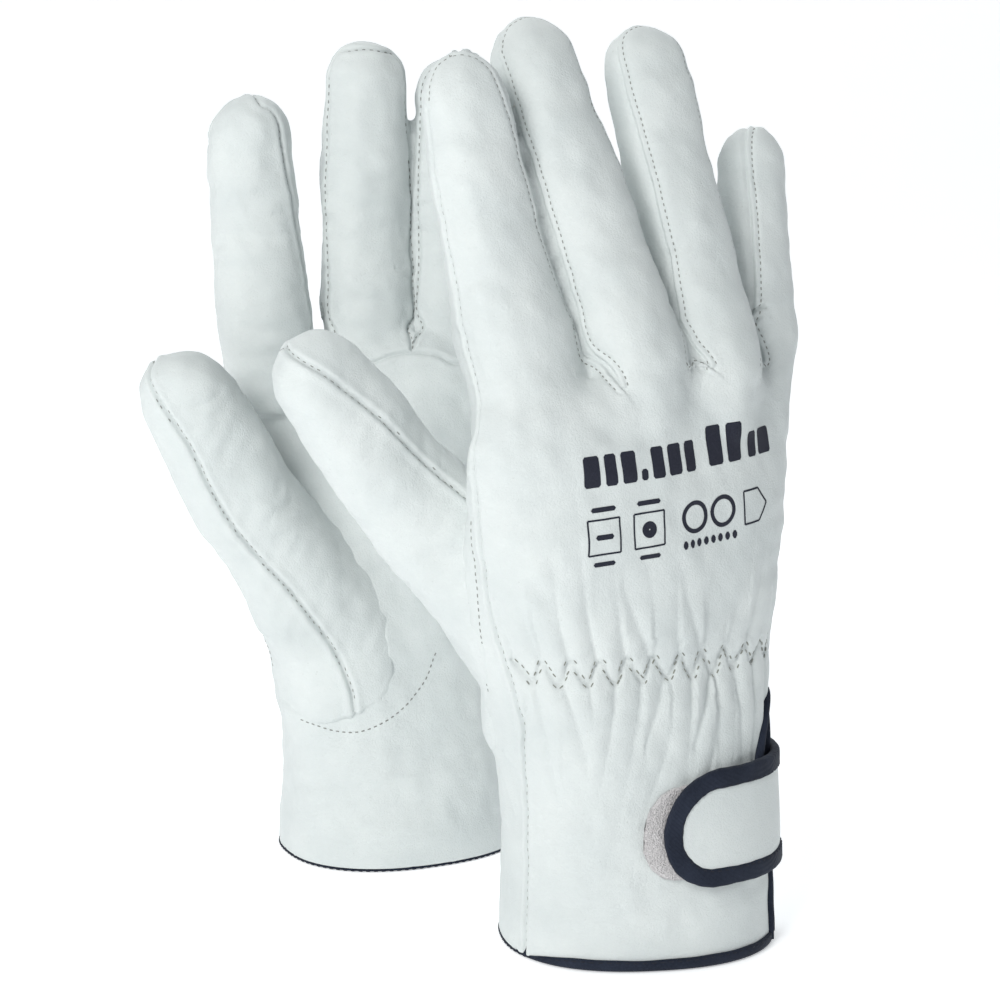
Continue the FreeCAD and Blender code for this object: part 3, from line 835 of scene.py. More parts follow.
def capsule(p, t, n, length, r):
    """A short stitch lying along t on the surface with normal n: a small six-sided bead with tapered ends."""
    b = np.cross(t, n)
    V, F = [], []
    for x, k in ((-0.5, 0.35), (-0.34, 0.9), (0.0, 1.05), (0.34, 0.9), (0.5, 0.35)):
        for a in range(6):
            u = math.pi * a / 3
            V.append(p + t * (x * length) + (b * math.cos(u) + n * math.sin(u) * 0.75) * (r * k) - n * (0.0 if abs(x) < 0.4 else r * 0.7))
    for i in range(4):
        for a in range(6):
            c = (a + 1) % 6
            F.append((i * 6 + a, i * 6 + c, (i + 1) * 6 + c, (i + 1) * 6 + a))
    F.append(tuple(range(5, -1, -1)))
    F.append(tuple(range(24, 30)))
    return V, F


class Bag:
    """Collects small forms into meshes, one for each region."""

    def __init__(self):
        self.V, self.F = {}, {}

    def add(self, key, V, F):
        v, f = self.V.setdefault(key, []), self.F.setdefault(key, [])
        o = len(v)
        v.extend(V)
        f.extend(tuple(i + o for i in x) for x in F)


def stitch_row(bag, tree, P, T, N, region, pitch=2.1, length=1.35, r=0.2, lift=0.02, kind="thread", wobble=0.06, rnd=None):
    s = np.concatenate([[0], np.cumsum(np.linalg.norm(np.diff(P, axis=0), axis=1))])
    x = pitch * 0.5
    while x < s[-1] - pitch * 0.4:
        a = np.array([np.interp(x - length / 2, s, P[:, k]) for k in range(3)])
        b = np.array([np.interp(x + length / 2, s, P[:, k]) for k in range(3)])
        c = (a + b) / 2
        q, n, i, d = tree.find_nearest(Vector(c))
        q, n = np.array(q), np.array(n)
        t = unit(b - a)
        t = unit(t - n * (t @ n))
        if rnd is not None:
            t = unit(t + np.cross(t, n) * rnd.uniform(-wobble, wobble))
        V, F = capsule(q + n * lift, t, n, length, r)
        bag.add((kind, region(q)), V, F)
        x += pitch


# ---- one glove --------------------------------------------------------------------------------
def hand_form(side):
    zs = list(np.arange(-5, 150, 3.0)) + [150.0]
    t = np.linspace(0, 2 * math.pi, 96, endpoint=False)
    rings = []
    gx = [-60, GAPS[side][0][0] - 12] + [g[0] for g in GAPS[side]] + [GAPS[side][2][0] + 10, 60]
    gz = [149, 155] + [g[1] for g in GAPS[side]] + [154, 148]
    for z in zs:
        rings.append(hand_pt(side, np.full(96, z), np.degrees(t), -2.0 * max(0.0, (z - 132) / 18) ** 2))
    for k in (0.2, 0.4, 0.58, 0.74, 0.87, 0.96):
        f = math.sqrt(1 - k ** 2.2)
        r = rows_at(side, 150.0)[0]
        q = math.radians(r[4])
        x = sgnpow(np.cos(t)) * (r[2] - 2.0) * (0.9 + 0.1 * f)
        y = sgnpow(np.sin(t)) * (r[3] - 2.0) * (0.30 + 0.70 * f)
        X = r[0] + x * math.cos(q) - y * math.sin(q)
        Y = r[1] + x * math.sin(q) + y * math.cos(q)
        top = np.interp(X, gx, gz)
        rings.append(np.stack([X, Y, 150 + (top - 150) * k], 1))
    return closed_loft(rings)


def glove(side):
    rnd = random.Random(5 if side == "right" else 6)
    # 1. hand and fingers in one skin
    V, F = hand_form(side)
    V = [V]
    F = list(F)
    for n in NAMES:
        st = STALLS[side][n]
        v, f = closed_loft(st.rings(st.stations(-20)))
        o = sum(len(x) for x in V)
        V.append(v)
        F += [tuple(i + o for i in x) for x in f]
    V = np.vstack(V)
    inner = remeshed(V, F, 2.4)
    V, F, E = remeshed(V, F, 1.4)

    def soften(V, E, rounds):
        V = smooth(V, E, rounds, 0.5, -0.52)
        w = np.zeros(len(V))
        for x, z in GAPS[side]:
            w = np.maximum(w, np.exp(-(((V[:, 0] - x) / 6) ** 2 + ((V[:, 2] - z) / 8) ** 2)))
        V = smooth(V, E, rounds * 2, 0.5, None, w)
        band = np.exp(-((V[:, 2] - 151) / 8.5) ** 2)
        return smooth(V, E, rounds * 5, 0.5, None, band)
    V = soften(V, E, 8)
    V, F, E = subdivided(V, F)

    # 2. the thumb, its own skin, set into the hand
    th = THUMBS[side]
    low = th.low[0][0]
    st = [low + 15 - 15 * math.cos(k) for k in np.linspace(0.06, math.pi / 2, 12)] + th.stations(low + 17, 2.0)
    tv, tf = closed_loft(th.rings(st, 72))
    tv, tf, te = remeshed(tv, tf, 1.4)
    tv = smooth(tv, te, 8, 0.5, -0.52)
    tv, tf, te = subdivided(tv, tf)

    # 3. soft join: each skin rises a little where the other comes near
    hand_tree, thumb_tree = bvh(V, F), bvh(tv, tf)
    K = 8.0

    def rise(h):
        return K / 4 * np.maximum(0, 1 - np.abs(h) / K) ** 2
    near = (V[:, 0] < 16) & (V[:, 2] > 30) & (V[:, 2] < 145)
    h_hand = np.full(len(V), 30.0)
    h_hand[near] = signed(thumb_tree, V[near])
    neart = tv[:, 2] < 150
    h_thumb = np.full(len(tv), 30.0)
    h_thumb[neart] = signed(hand_tree, tv[neart])
    V = V + normals(V, tri_array(F)) * rise(h_hand)[:, None]
    tv = tv + normals(tv, tri_array(tf)) * rise(h_thumb)[:, None]
    inside_thumb = h_hand < -5.0

    # 4. seams
    hand_tree, thumb_tree = bvh(V, F), bvh(tv, tf)
    S = []
    vs = [(g[0], g[1]) for g in GAPS[side]]

    def axis_back(stall, deg):
        def ref(P):
            s, d = stall.coords(P)
            return np.array([stall.pt(float(np.clip(x, 0, stall.L - 6)), deg) for x in s])
        return ref

    def vee(i, dz=-1.5):
        x, z = vs[i]
        r = rows_at(side, 150.0)[0]
        return np.array([x, r[1] - r[3] - 1.0, z + dz])

    def upalm(i, dz=-2.0):
        x, z = vs[i]
        r = rows_at(side, 150.0)[0]
        return np.array([x, r[1] + r[3] + 1.0, z + dz])
    for i, n in enumerate(NAMES):
        stl = STALLS[side][n]
        L = stl.L

        def run(table, lo=5.0, hi=None, st_=stl):
            hi = (st_.L - 4.5) if hi is None else hi
            return [st_.pt(s, interp(table, s)) for s in np.linspace(lo, hi, 9)]
        back = axis_back(stl, -90)
        left = run(BACK_L[n])
        right = run(BACK_R[n])
        over = [stl.pt(L - 0.9, -120), stl.pt(L - 0.3, -90), stl.pt(L - 0.9, -60)]
        if n == "index":
            S.append(Seam([vee(0)] + right + over + left[::-1][:2], "lap", back, "top"))
            rad = [side_pt(side, z, interp(RADIAL, z))[0] for z in (-1, 8, 20, 32, 44, 56, 67, 76, 84, 92, 100, 108, 118, 128, 138, 148)]
            S.append(Seam(rad + left[:-1], "in", None, "in", width=1.0))
        elif n == "little":
            S.append(Seam([vee(2)] + left + over + right[::-1][:2], "lap", back, "top"))
            uln = [side_pt(side, z, -interp(SEAM, z), True)[0] for z in (68, 76, 84, 92, 102, 112, 122, 132, 142, 150)]
            S.append(Seam(uln + right[:-1], "in", None, "in"))
        else:
            S.append(Seam([vee(i - 1)] + left + over + right[::-1] + [vee(i)], "lap", back, "top"))
        pl = run(PALM_L[n]) if n in PALM_L else None
        pr = run(PALM_R[n]) if n in PALM_R else None
        overp = [stl.pt(L - 3.0, 125), stl.pt(L - 2.4, 90), stl.pt(L - 3.0, 55)]
        if n == "index":
            S.append(Seam([upalm(0)] + pr + [stl.pt(L - 2.0, 60), stl.pt(L - 1.0, -90)], "in", None, "in"))
        elif n == "little":
            S.append(Seam([upalm(2)] + pl + [stl.pt(L - 2.0, 120), stl.pt(L - 1.0, -90)], "in", None, "in"))
        else:
            S.append(Seam([upalm(i - 1)] + pl + overp + pr[::-1] + [upalm(i)], "in", None, "in"))
    # base seam of the middle and ring fingers' front piece
    m, r_ = STALLS[side]["middle"], STALLS[side]["ring"]
    ya = rows_at(side, 150.0)[0]
    yp = ya[1] + ya[3]
    S.append(Seam([upalm(0), (vs[0][0] + 8, yp, vs[0][1] - 4.2), ((vs[0][0] + vs[1][0]) / 2, yp, vs[0][1] - 4.6), (vs[1][0] - 6, yp, vs[1][1] - 5), (vs[1][0], yp, vs[1][1] - 4.2),
                   (vs[1][0] + 8, yp, vs[1][1] - 5.4), ((vs[1][0] + vs[2][0]) / 2 + 2, yp, vs[2][1] - 5), upalm(2)], "in", None, None, amp=0.8, width=1.1))
    # soft creases of the hand
    def hp(*a):
        return [hand_pt(side, z, d)[0] for z, d in a]
    for pts, amp, w in ((hp((112, -150), (104, -140), (99, -126)), 0.25, 2.2), (hp((150, -60), (146, -72), (140, -88)), 0.3, 3.2),
                        (hp((152, -120), (146, -112), (143, -98)), 0.3, 2.6), (hp((108, 60), (98, 78), (90, 100)), 0.6, 3.0),
                        (hp((132, 40), (128, 66), (126, 92), (128, 118)), 0.5, 3.2), (hp((118, 30), (112, 52), (104, 70)), 0.45, 2.6),
                        (hp((62, -168), (70, -158), (74, -146)), 0.4, 2.0), (hp((60, -150), (64, -135), (66, -118)), 0.35, 2.6),
                        (hp((58, 60), (62, 84), (60, 108)), 0.4, 3.0), (hp((30, -60), (34, -90), (31, -120)), 0.3, 5.0),
                        (hp((14, -100), (18, -130), (14, -155)), 0.3, 4.0), (hp((24, 60), (20, 100), (26, 140)), 0.35, 5.0)):
        S.append(Seam(pts, "fold", None, None, amp, w))
    rows = {}
    for n in NAMES:
        stl = STALLS[side][n]
        for f, a0, a1, amp, w in ((0.30, -165, -120, 0.3, 1.6), (0.38, 175, 130, 0.45, 1.7), (0.46, 172, 125, 0.4, 1.5), (0.2, 178, 140, 0.35, 1.6), (0.47, 50, 130, 0.4, 2.4),
                                  (0.10, 50, 130, 0.45, 2.6), (0.62, 60, 110, 0.2, 2.0), (0.85, -120, -85, 0.14, 1.4)):
            s = stl.L * (f + rnd.uniform(-0.03, 0.03))
            S.append(Seam([stl.pt(s - 1.5, a0), stl.pt(s, (a0 + a1) / 2), stl.pt(s + rnd.uniform(-2, 3), a1)], "fold", None, None, amp, w))

    TS = []
    T_in = [(110.5, -126), (106, -110), (100, -99), (91, -91), (82, -86), (67, -79), (53, -77), (40, -76), (28, -76)]
    T_c = [(104, 128), (95, 110), (81, 103), (68, 104), (49, 99), (30, 90), (5, 89), (-14, 88), (-26, 88)]
    k = th.L / 113.0
    tip = [th.pt(th.L - 0.5, -150), th.pt(th.L - 0.4, 170)]
    kk = th.L / 108.0
    TS.append(Seam([th.pt(s * k if s > 60 else s, d) for s, d in T_in][::-1] + tip + [th.pt(min(s * kk, th.L - 2.5) if s > 60 else s, d) for s, d in T_c], "in", None, "in", amp=1.15, width=1.1))
    for pts, amp, w in (([(46, -150), (41, -125), (37, -100)], 0.6, 2.8), ([(38, -158), (33, -135), (31, -112)], 0.45, 2.6), ([(56, -150), (52, -128)], 0.3, 2.4), ([(70, -140), (66, -115)], 0.2, 2.2),
                        ([(58, 60), (55, 40), (57, 20)], 0.55, 2.2), ([(64, 70), (60, 48), (64, 25)], 0.4, 1.9), ([(50, 80), (46, 55)], 0.4, 2.2), ([(70, 140), (66, 165)], 0.3, 2.2),
                        ([(98, 90), (96, 60), (97, 30)], 0.3, 1.3), ([(92, 92), (90, 70)], 0.25, 1.2), ([(30, 120), (26, 150), (28, 175)], 0.4, 3.0), ([(12, 60), (16, 40)], 0.4, 3.0)):
        TS.append(Seam([th.pt(s * th.L / 113.0, d) for s, d in pts], "fold", None, None, amp, w))
    for c in S:
        c.snap(hand_tree)
    for c in TS:
        c.snap(thumb_tree)

    # 5. finer mesh along the seams, then the displacement
    def near_mask(V, seams, dist):
        P = np.vstack([c.P for c in seams if c.kind != "fold"])
        kd = kdtree.KDTree(len(P))
        for i, p in enumerate(P):
            kd.insert(p, i)
        kd.balance()
        return np.array([kd.find(v)[2] < dist for v in V])
    zz = zigzag(side)
    zpts = [hand_pt(side, z, d)[0] for d, z in zz]
    near = near_mask(V, S, 2.6) & (V[:, 2] > 0)
    V, F, E = refine(V, F, near)
    tnear = near_mask(tv, TS, 2.4)
    tv, tf, te = refine(tv, tf, tnear)

    T = tri_array(F)
    N = normals(V, T)
    every = V[:, 2] > -3
    disp = seam_field(S, "lap", V, every & (V[:, 2] > 148)) + seam_field(S, "in", V, every) + seam_field(S, "fold", V, every)
    g = gathers(side, V)
    disp += np.where(V[:, 2] < 145, g, 0.0)
    soft = waves(V, 3, 16, 46)
    disp += 0.38 * soft * np.clip(V[:, 2] / 12, 0.15, 1) + 0.11 * waves(V, 4, 5, 11) * np.clip((V[:, 2] - 3) / 12, 0, 1)
    # move the skin along its normals by the displacement
    V = V + N * disp[:, None]
    tT = tri_array(tf)
    tN = normals(tv, tT)
    tall = np.ones(len(tv), bool)
    tdisp = seam_field(TS, "in", tv, tall) + seam_field(TS, "fold", tv, tall) + 0.38 * waves(tv, 7, 14, 34) + 0.09 * waves(tv, 8, 5, 10)
    tv = tv + tN * tdisp[:, None]

    # zigzag groove
    Z = Seam(zpts, "in", None, None)
    zraw = []
    for a, b in zip(zpts, zpts[1:]):
        n = max(2, int(np.linalg.norm(b - a) / 0.4))
        zraw.append(a + (b - a) * np.linspace(0, 1, n, endpoint=False)[:, None])
    Z.raw = np.vstack(zraw + [zpts[-1][None]])
    tree = bvh(V, F)
    Z.snap(tree)
    N = normals(V, T)
    zm = (np.abs(V[:, 2] - ELASTIC_AT) < 7)
    Z.width = 0.9
    V = V + N * (0.7 * seam_field([Z], "in", V, zm))[:, None]

    # 6. the inside, 1.2 mm in
    iv, if_, ie = inner
    iv = soften(iv, ie, 5)
    iN = normals(iv, tri_array(if_))
    iv = iv + iN * (np.where(iv[:, 2] < 145, gathers(side, iv), 0.0) + 0.38 * waves(iv, 3, 16, 46) * np.clip(iv[:, 2] / 12, 0.15, 1) - 1.7)[:, None]

    def open_cuff(V, F, margin):
        C = np.array([V[list(f)].mean(0) for f in F])
        x, y, r = turned(side, C)
        slit = (x > 10) & (np.abs(y + interp(SEAM, C[:, 2]) + interp(VENT_SHIFT, C[:, 2])) < VENT_HALF + margin) & (C[:, 2] < VENT_TOP + margin)
        return C, ~((C[:, 2] < 0.7) | slit)
    C, keep = open_cuff(V, F, 1.0)
    # trees of the finished skins, and each face's region and side of the seam
    final_tree = bvh(V, F)
    thumb_final = bvh(tv, tf)
    region = finger_region(side, C)
    xs, ys, rr = turned(side, C)
    seam_y = np.where(xs < 0, interp(RADIAL, C[:, 2]), -interp(SEAM, C[:, 2]))
    is_back = ys < seam_y
    bend = bends(side)
    made = {}

    def put(key, V, F, keep, name, nodes, body=None, bend_key=None, material="leather", slot="white_leather"):
        sub = subset(V, F, keep)
        if sub is None:
            return None
        made[name] = build(name, side, sub[0], sub[1], M[material], body, bend.get(bend_key), nodes, slot)
        return made[name]
    hand = f"{side}_hand"
    put("b", V, F, keep & (region == 0) & is_back, f"{side}_back_leather", [f"{side}_back_panel"], hand)
    put("p", V, F, keep & (region == 0) & ~is_back, f"{side}_palm_leather", [f"{side}_palm_panel", f"{side}_finger_webs"], hand)
    iC, ikeep = open_cuff(iv, if_, 1.0)
    ireg = finger_region(side, iC)
    high = np.where(iC[:, 2] > 110)[0]
    ikeep[high] &= signed(final_tree, iC[high]) < -0.9
    ifl = [f[::-1] for f in if_]
    put("i", iv, ifl, ikeep & (ireg == 0), f"{side}_inside_hand", [], hand, None, "inside")
    for i, n in enumerate(NAMES):
        put(n, V, F, keep & (region == 1 + 2 * i), f"{side}_{n}_stall_low", [f"{side}_{n}_knuckle_sleeve", f"{side}_{n}_lower"], None, n + "_low")
        put(n, V, F, keep & (region == 2 + 2 * i), f"{side}_{n}_stall_end", [f"{side}_{n}_mid_sleeve", f"{side}_{n}_tip"], None, n + "_end")
        put(n, iv, ifl, ikeep & (ireg == 1 + 2 * i), f"{side}_{n}_inside_low", [], None, n + "_low", "inside")
        put(n, iv, ifl, ikeep & (ireg == 2 + 2 * i), f"{side}_{n}_inside_end", [], None, n + "_end", "inside")
    tC = np.array([tv[list(f)].mean(0) for f in tf])
    ts, td = th.coords(tC)
    put("t", tv, tf, ts < 36, f"{side}_thumb_stall_low", [f"{side}_thumb_root_sleeve", f"{side}_thumb_lower"], None, "thumb_low")
    put("t", tv, tf, ts >= 36, f"{side}_thumb_stall_end", [f"{side}_thumb_mid_sleeve", f"{side}_thumb_tip"], None, "thumb_end")

    # 7. stitches
    bag = Bag()

    def hand_region(q):
        r = int(finger_region(side, np.array([q]))[0])
        return r

    def thumb_region(q):
        s, d = th.coords(np.array([q]))
        return "tl" if s[0] < 36 else "te"
    for c in S:
        if c.stitch == "top":
            stitch_row(bag, final_tree, c.P + c.B * 1.75, c.T, c.N, hand_region, 1.85, 1.15, 0.21, -0.03, rnd=rnd)
        elif c.stitch == "in":
            stitch_row(bag, final_tree, c.P + c.B * 0.15, c.T, c.N, hand_region, 2.3, 1.15, 0.16, 0.02, rnd=rnd)
    for c in TS:
        if c.stitch == "in":
            P = c.P
            q = signed(final_tree, P)
            ok = q > 0.4
            stitch_row(bag, thumb_final, P[ok], c.T[ok], c.N[ok], thumb_region, 2.3, 1.15, 0.17, 0.02, rnd=rnd)
    # topstitch beside the thumb's edge, and round the foot of the thumb on the palm
    edge = {"right": [(-53.4, 0.0, 122), (-52.6, 0.2, 112), (-50.8, 0.6, 100), (-48.6, 2.0, 90), (-46.3, 4.6, 80), (-43.2, 8.0, 70), (-40.5, 11.5, 62)],
            "left": [(-52.5, 0.5, 118), (-51.0, 0.6, 105), (-48.6, 1.5, 92), (-45.5, 4.4, 80), (-42.5, 8.0, 68), (-39.0, 12.0, 58)]}[side]
    foot = {"right": [(-38, 16, 55), (-32, 21, 49), (-24, 26, 46), (-14, 28, 47), (-5, 28, 53), (2, 27, 62), (6, 26, 73)],
            "left": [(-36, 16, 51), (-31, 21, 46.5), (-24, 25, 43.5), (-16, 28, 42.5), (-8, 28, 45), (-1, 27, 50), (6, 26, 58), (10, 25, 68)]}[side]
    for pts in (edge, foot):
        P, Nn = snap(final_tree, spline(pts, 0.5))
        ok = signed(thumb_final, P) > 0.3
        P, Nn = P[ok], Nn[ok]
        if len(P) > 4:
            stitch_row(bag, final_tree, P, np.gradient(P, axis=0), Nn, hand_region, 2.0, 1.25, 0.21, 0.0, rnd=rnd)
    for a, b in zip(Z.P[:-1], Z.P[1:]):
        pass
    legs = [(zpts[i], zpts[i + 1]) for i in range(len(zpts) - 1)]
    for a, b in legs:
        for k in (0.1, 0.37, 0.63, 0.9):
            c = a + (b - a) * k
            q, n, i, d = final_tree.find_nearest(Vector(c))
            t = unit((b - a) - np.array(n) * ((b - a) @ np.array(n)))
            Vc, Fc = capsule(np.array(q) + np.array(n) * 0.03, t, np.array(n), 1.35, 0.2)
            bag.add(("thread_dark", 0), Vc, Fc)
    names = {0: ("hand", None)}
    for i, n in enumerate(NAMES):
        names[1 + 2 * i] = (n + "_low", n + "_low")
        names[2 + 2 * i] = (n + "_end", n + "_end")
    names["tl"] = ("thumb_low", "thumb_low")
    names["te"] = ("thumb_end", "thumb_end")
    for (kind, reg), v in bag.V.items():
        nm, bk = names[reg]
        build(f"{side}_{'wrist_zigzag' if kind == 'thread_dark' else nm + '_stitches'}", side, v, bag.F[(kind, reg)], M[kind], hand, bend.get(bk) if bk else None)
    return dict(V=V, F=F, tree=final_tree, thumb=thumb_final, rnd=rnd)


# ---- bindings, tab and patches ------------------------------------------------------------------
def sweep(path, frames, profile, closed=False, caps=True):
    """Rings of profile (u, v pairs, or one list per station) along path; frames give the two directions."""
    n = len(profile[0])
    V = np.vstack([p + np.outer(pr[:, 0], f[0]) + np.outer(pr[:, 1], f[1]) for p, f, pr in zip(path, frames, profile)])
    F = []
    m = len(path)
    for i in range(m if closed else m - 1):
        j2 = (i + 1) % m
        for j in range(n):
            k = (j + 1) % n
            F.append((i * n + j, i * n + k, j2 * n + k, j2 * n + j))
    if caps and not closed:
        F.append(tuple(range(n - 1, -1, -1)))
        F.append(tuple((m - 1) * n + j for j in range(n)))
    return V, F


def rounded(w, h, r, n=4):
    """A rounded rectangle's outline centred on 0, as (u, v)."""
    out = []
    for cx, cy, a0 in ((w / 2 - r, h / 2 - r, 0), (-w / 2 + r, h / 2 - r, 90), (-w / 2 + r, -h / 2 + r, 180), (w / 2 - r, -h / 2 + r, 270)):
        for k in range(n):
            a = math.radians(a0 + 90 * k / (n - 1))
            out.append((cx + r * math.cos(a), cy + r * math.sin(a)))
    return np.array(out)


def orient(V, F):
    """Faces outward, for a closed form."""
    T = tri_array(F)
    vol = (np.cross(V[T[:, 1]] - V[T[:, 0]], V[T[:, 2]] - V[T[:, 0]]) * V[T[:, 0]]).sum()
    return F if vol > 0 else [f[::-1] for f in F]


def surface_off(side, tree, p, n):
    q, m, i, d = tree.find_nearest(Vector(p))
    return np.array(q)


def trim(side, info):
    rnd = info["rnd"]
    hand = f"{side}_hand"
    dark = "binding"
    # hem
    deg0 = math.degrees(math.atan2(-9 / 33, 1.0))
    vent_y = -interp(SEAM, 0.0) - interp(VENT_SHIFT, 0.0)
    degs = np.linspace(0, 360, 361)
    P = hand_pt(side, np.full(361, 0.0), degs)
    x, y, r = turned(side, P)
    gap = (x > 0) & (np.abs(y - vent_y) < VENT_HALF + 0.4)
    start = np.nonzero(gap)[0].max() + 1
    order = [i % 360 for i in range(start, start + 361) if not gap[i % 360]]
    order = list(dict.fromkeys(order))
    path, frames, prof = [], [], []
    for i in order:
        p = P[i]
        o = hand_pt(side, 0.0, degs[i], 1.0)[0] - p
        o[2] = 0
        o = unit(o)
        xx, yy = x[i], y[i]
        back = 1 / (1 + math.exp((yy - interp(RADIAL, 0.0) + 5.0) / 2.6)) if xx < 0 else 1 / (1 + math.exp((yy + 9) / 3.0))
        ho = 0.45 + 2.5 * back + 0.06 * math.sin(i * 0.35) + 0.06 * math.sin(i * 0.13 + 1)
        po = 0.12 + 0.68 * back
        hi = 3.2
        prof.append(np.array([(po * 0.55, ho), (po, ho * 0.72), (po + 0.05, ho * 0.35), (po * 0.7, 0.12), (po * 0.1, 0.0), (-1.3, 0.0), (-1.9, 0.15), (-2.15, 0.9), (-2.15, hi * 0.7), (-1.95, hi), (-1.2, hi - 0.1), (-0.1, ho - 0.05)]))
        path.append(p)
        frames.append((o, np.array([0, 0, 1.0])))
    V, F = sweep(path, frames, prof)
    build(f"{side}_hem_tape", side, V, orient(V, F), M[dark], hand, None, [f"{side}_hem_binding"], "dark_binding")
    # stitches on the hem tape, black on black
    bag = Bag()
    tr = bvh(V, orient(V, F))
    L = []
    for i, (p, f, pr) in enumerate(zip(path, frames, prof)):
        L.append(p + f[0] * (pr[0][0] + 0.02) + f[1] * (pr[0][1] - 0.55))
    L = np.array(L)
    stitch_row(bag, tr, L, None, None, lambda q: 0, 2.4, 1.5, 0.16, 0.04, "thread_black", rnd=rnd)

    # vent
    def vent_line(off):
        zs = list(np.arange(0.4, VENT_TOP - 3, 1.5))
        w = VENT_HALF + 1.7
        pts = [(z, 1.0) for z in zs]
        arc = [(VENT_TOP - 3 + (w + 1.2) * math.sin(a), math.cos(a)) for a in np.linspace(0.0, math.pi, 13)]
        pts = pts + arc + [(z, -1.0) for z in zs[::-1]]
        out = []
        for z, k in pts:
            out.append(side_pt(side, z, -interp(SEAM, z) - interp(VENT_SHIFT, z) + w * k - (0.4 if k < 0 else 0.0), True, off)[0])
        return np.array(out)
    C, O = vent_line(-0.55), vent_line(0.9)
    tang = np.gradient(C, axis=0)
    prof, frames = [], []
    base = rounded(3.9, 3.0, 0.9)
    for i in range(len(C)):
        t = unit(tang[i])
        n = unit(O[i] - C[i] - t * ((O[i] - C[i]) @ t))
        frames.append((np.cross(t, n), n))
        prof.append(base * (1 + 0.03 * math.sin(i * 0.9)))
    V, F = sweep(C, frames, prof)
    build(f"{side}_vent_tape", side, V, orient(V, F), M[dark], hand, None, [f"{side}_vent_binding"], "dark_binding")

    # elastic inside the back of the wrist
    zs = np.linspace(76.3, 86.3, 11)
    deg = np.linspace(-166, -16, 150)
    V, F = [], []
    for off in (-4.6, -5.5):
        for z in zs:
            wav = 0.35 * np.sin(np.arange(150) * 0.9)
            V.append(hand_pt(side, np.full(150, z), deg, 0.0) + (hand_pt(side, np.full(150, z), deg, off) - hand_pt(side, np.full(150, z), deg, 0.0)) * (1 + wav[:, None] * 0.06))
    n = 150
    V = np.vstack(V)
    m = len(zs)
    for s in (0, 1):
        for i in range(m - 1):
            for j in range(n - 1):
                a = s * m * n + i * n + j
                F.append((a, a + 1, a + n + 1, a + n) if s == 0 else (a, a + n, a + n + 1, a + 1))
    for j in range(n - 1):
        for i, fl in ((0, True), (m - 1, False)):
            a, b = i * n + j, m * n + i * n + j
            f = (a, b, b + 1, a + 1)
            F.append(f if fl else f[::-1])
    for i in range(m - 1):
        for j, fl in ((0, False), (n - 1, True)):
            a, b = i * n + j, m * n + i * n + j
            f = (a, b, b + n, a + n)
            F.append(f if fl else f[::-1])
    build(f"{side}_wrist_elastic_band", side, V, orient(V, F), M["elastic"], hand, None, [f"{side}_wrist_elastic"], "elastic")

    # tab: u along the cuff from the sewn end, v up
    z0, z1 = STRAP_Z
    zc, hh = (z0 + z1) / 2, (z1 - z0) / 2
    tdeg = np.linspace(STRAP_ROOT, STRAP_TIP, 400)
    A = hand_pt(side, np.full(400, zc), tdeg, 2.2)
    arc = np.concatenate([[0], np.cumsum(np.linalg.norm(np.diff(A, axis=0), axis=1))])
    LEN = arc[-1]

    def tab(u, v, off):
        d = float(np.interp(u, arc, tdeg)) if u <= LEN else STRAP_TIP - (u - LEN) * (tdeg[1] - tdeg[0]) / (arc[1] - arc[0]) * -1
        so = float(np.interp(d, [r[0] for r in STRAP_OFF], [r[1] for r in STRAP_OFF]))
        return hand_pt(side, zc + v, d, so + off)[0]

    def half(u, inset):
        r = hh - inset
        c = LEN - hh
        if u <= c:
            return r
        k = (u - c) / r
        return r * math.sqrt(max(0.0, 1 - k * k)) if k < 1 else 0.0
    body = f"{side}_strap"
    inset = 3.4
    ustat = list(np.linspace(0.4, LEN - hh, 46)) + [LEN - hh + (hh - inset) * math.sin(a) for a in np.linspace(0.06, math.pi / 2 - 0.03, 16)]
    nv = 22
    V, F = [], []
    for off in (1.35, 0.05):
        for u in ustat:
            h = half(u, inset)
            for j in range(nv):
                v = -h + 2 * h * j / (nv - 1)
                edge = min(1.0, (h - abs(v)) / 2.5)
                puff = 0.35 * edge + 0.12 * math.sin(u * 0.22 + 1.0) * math.cos(v * 0.2)
                V.append(tab(u, v, off + (puff if off > 1 else 0.0)))
    m = len(ustat)
    for s in (0, 1):
        for i in range(m - 1):
            for j in range(nv - 1):
                a = s * m * nv + i * nv + j
                F.append((a, a + 1, a + nv + 1, a + nv) if s == 0 else (a, a + nv, a + nv + 1, a + 1))
    rim = [i * nv for i in range(m)] + [(m - 1) * nv + j for j in range(1, nv)] + [i * nv + nv - 1 for i in range(m - 2, -1, -1)] + [j for j in range(nv - 2, 0, -1)]
    for a, b in zip(rim, rim[1:] + rim[:1]):
        F.append((a, b, b + m * nv, a + m * nv))
    V = np.array(V)
    build(f"{side}_tab_leather", side, V, orient(V, F), M["leather"], body, None, [f"{side}_strap"], "white_leather")
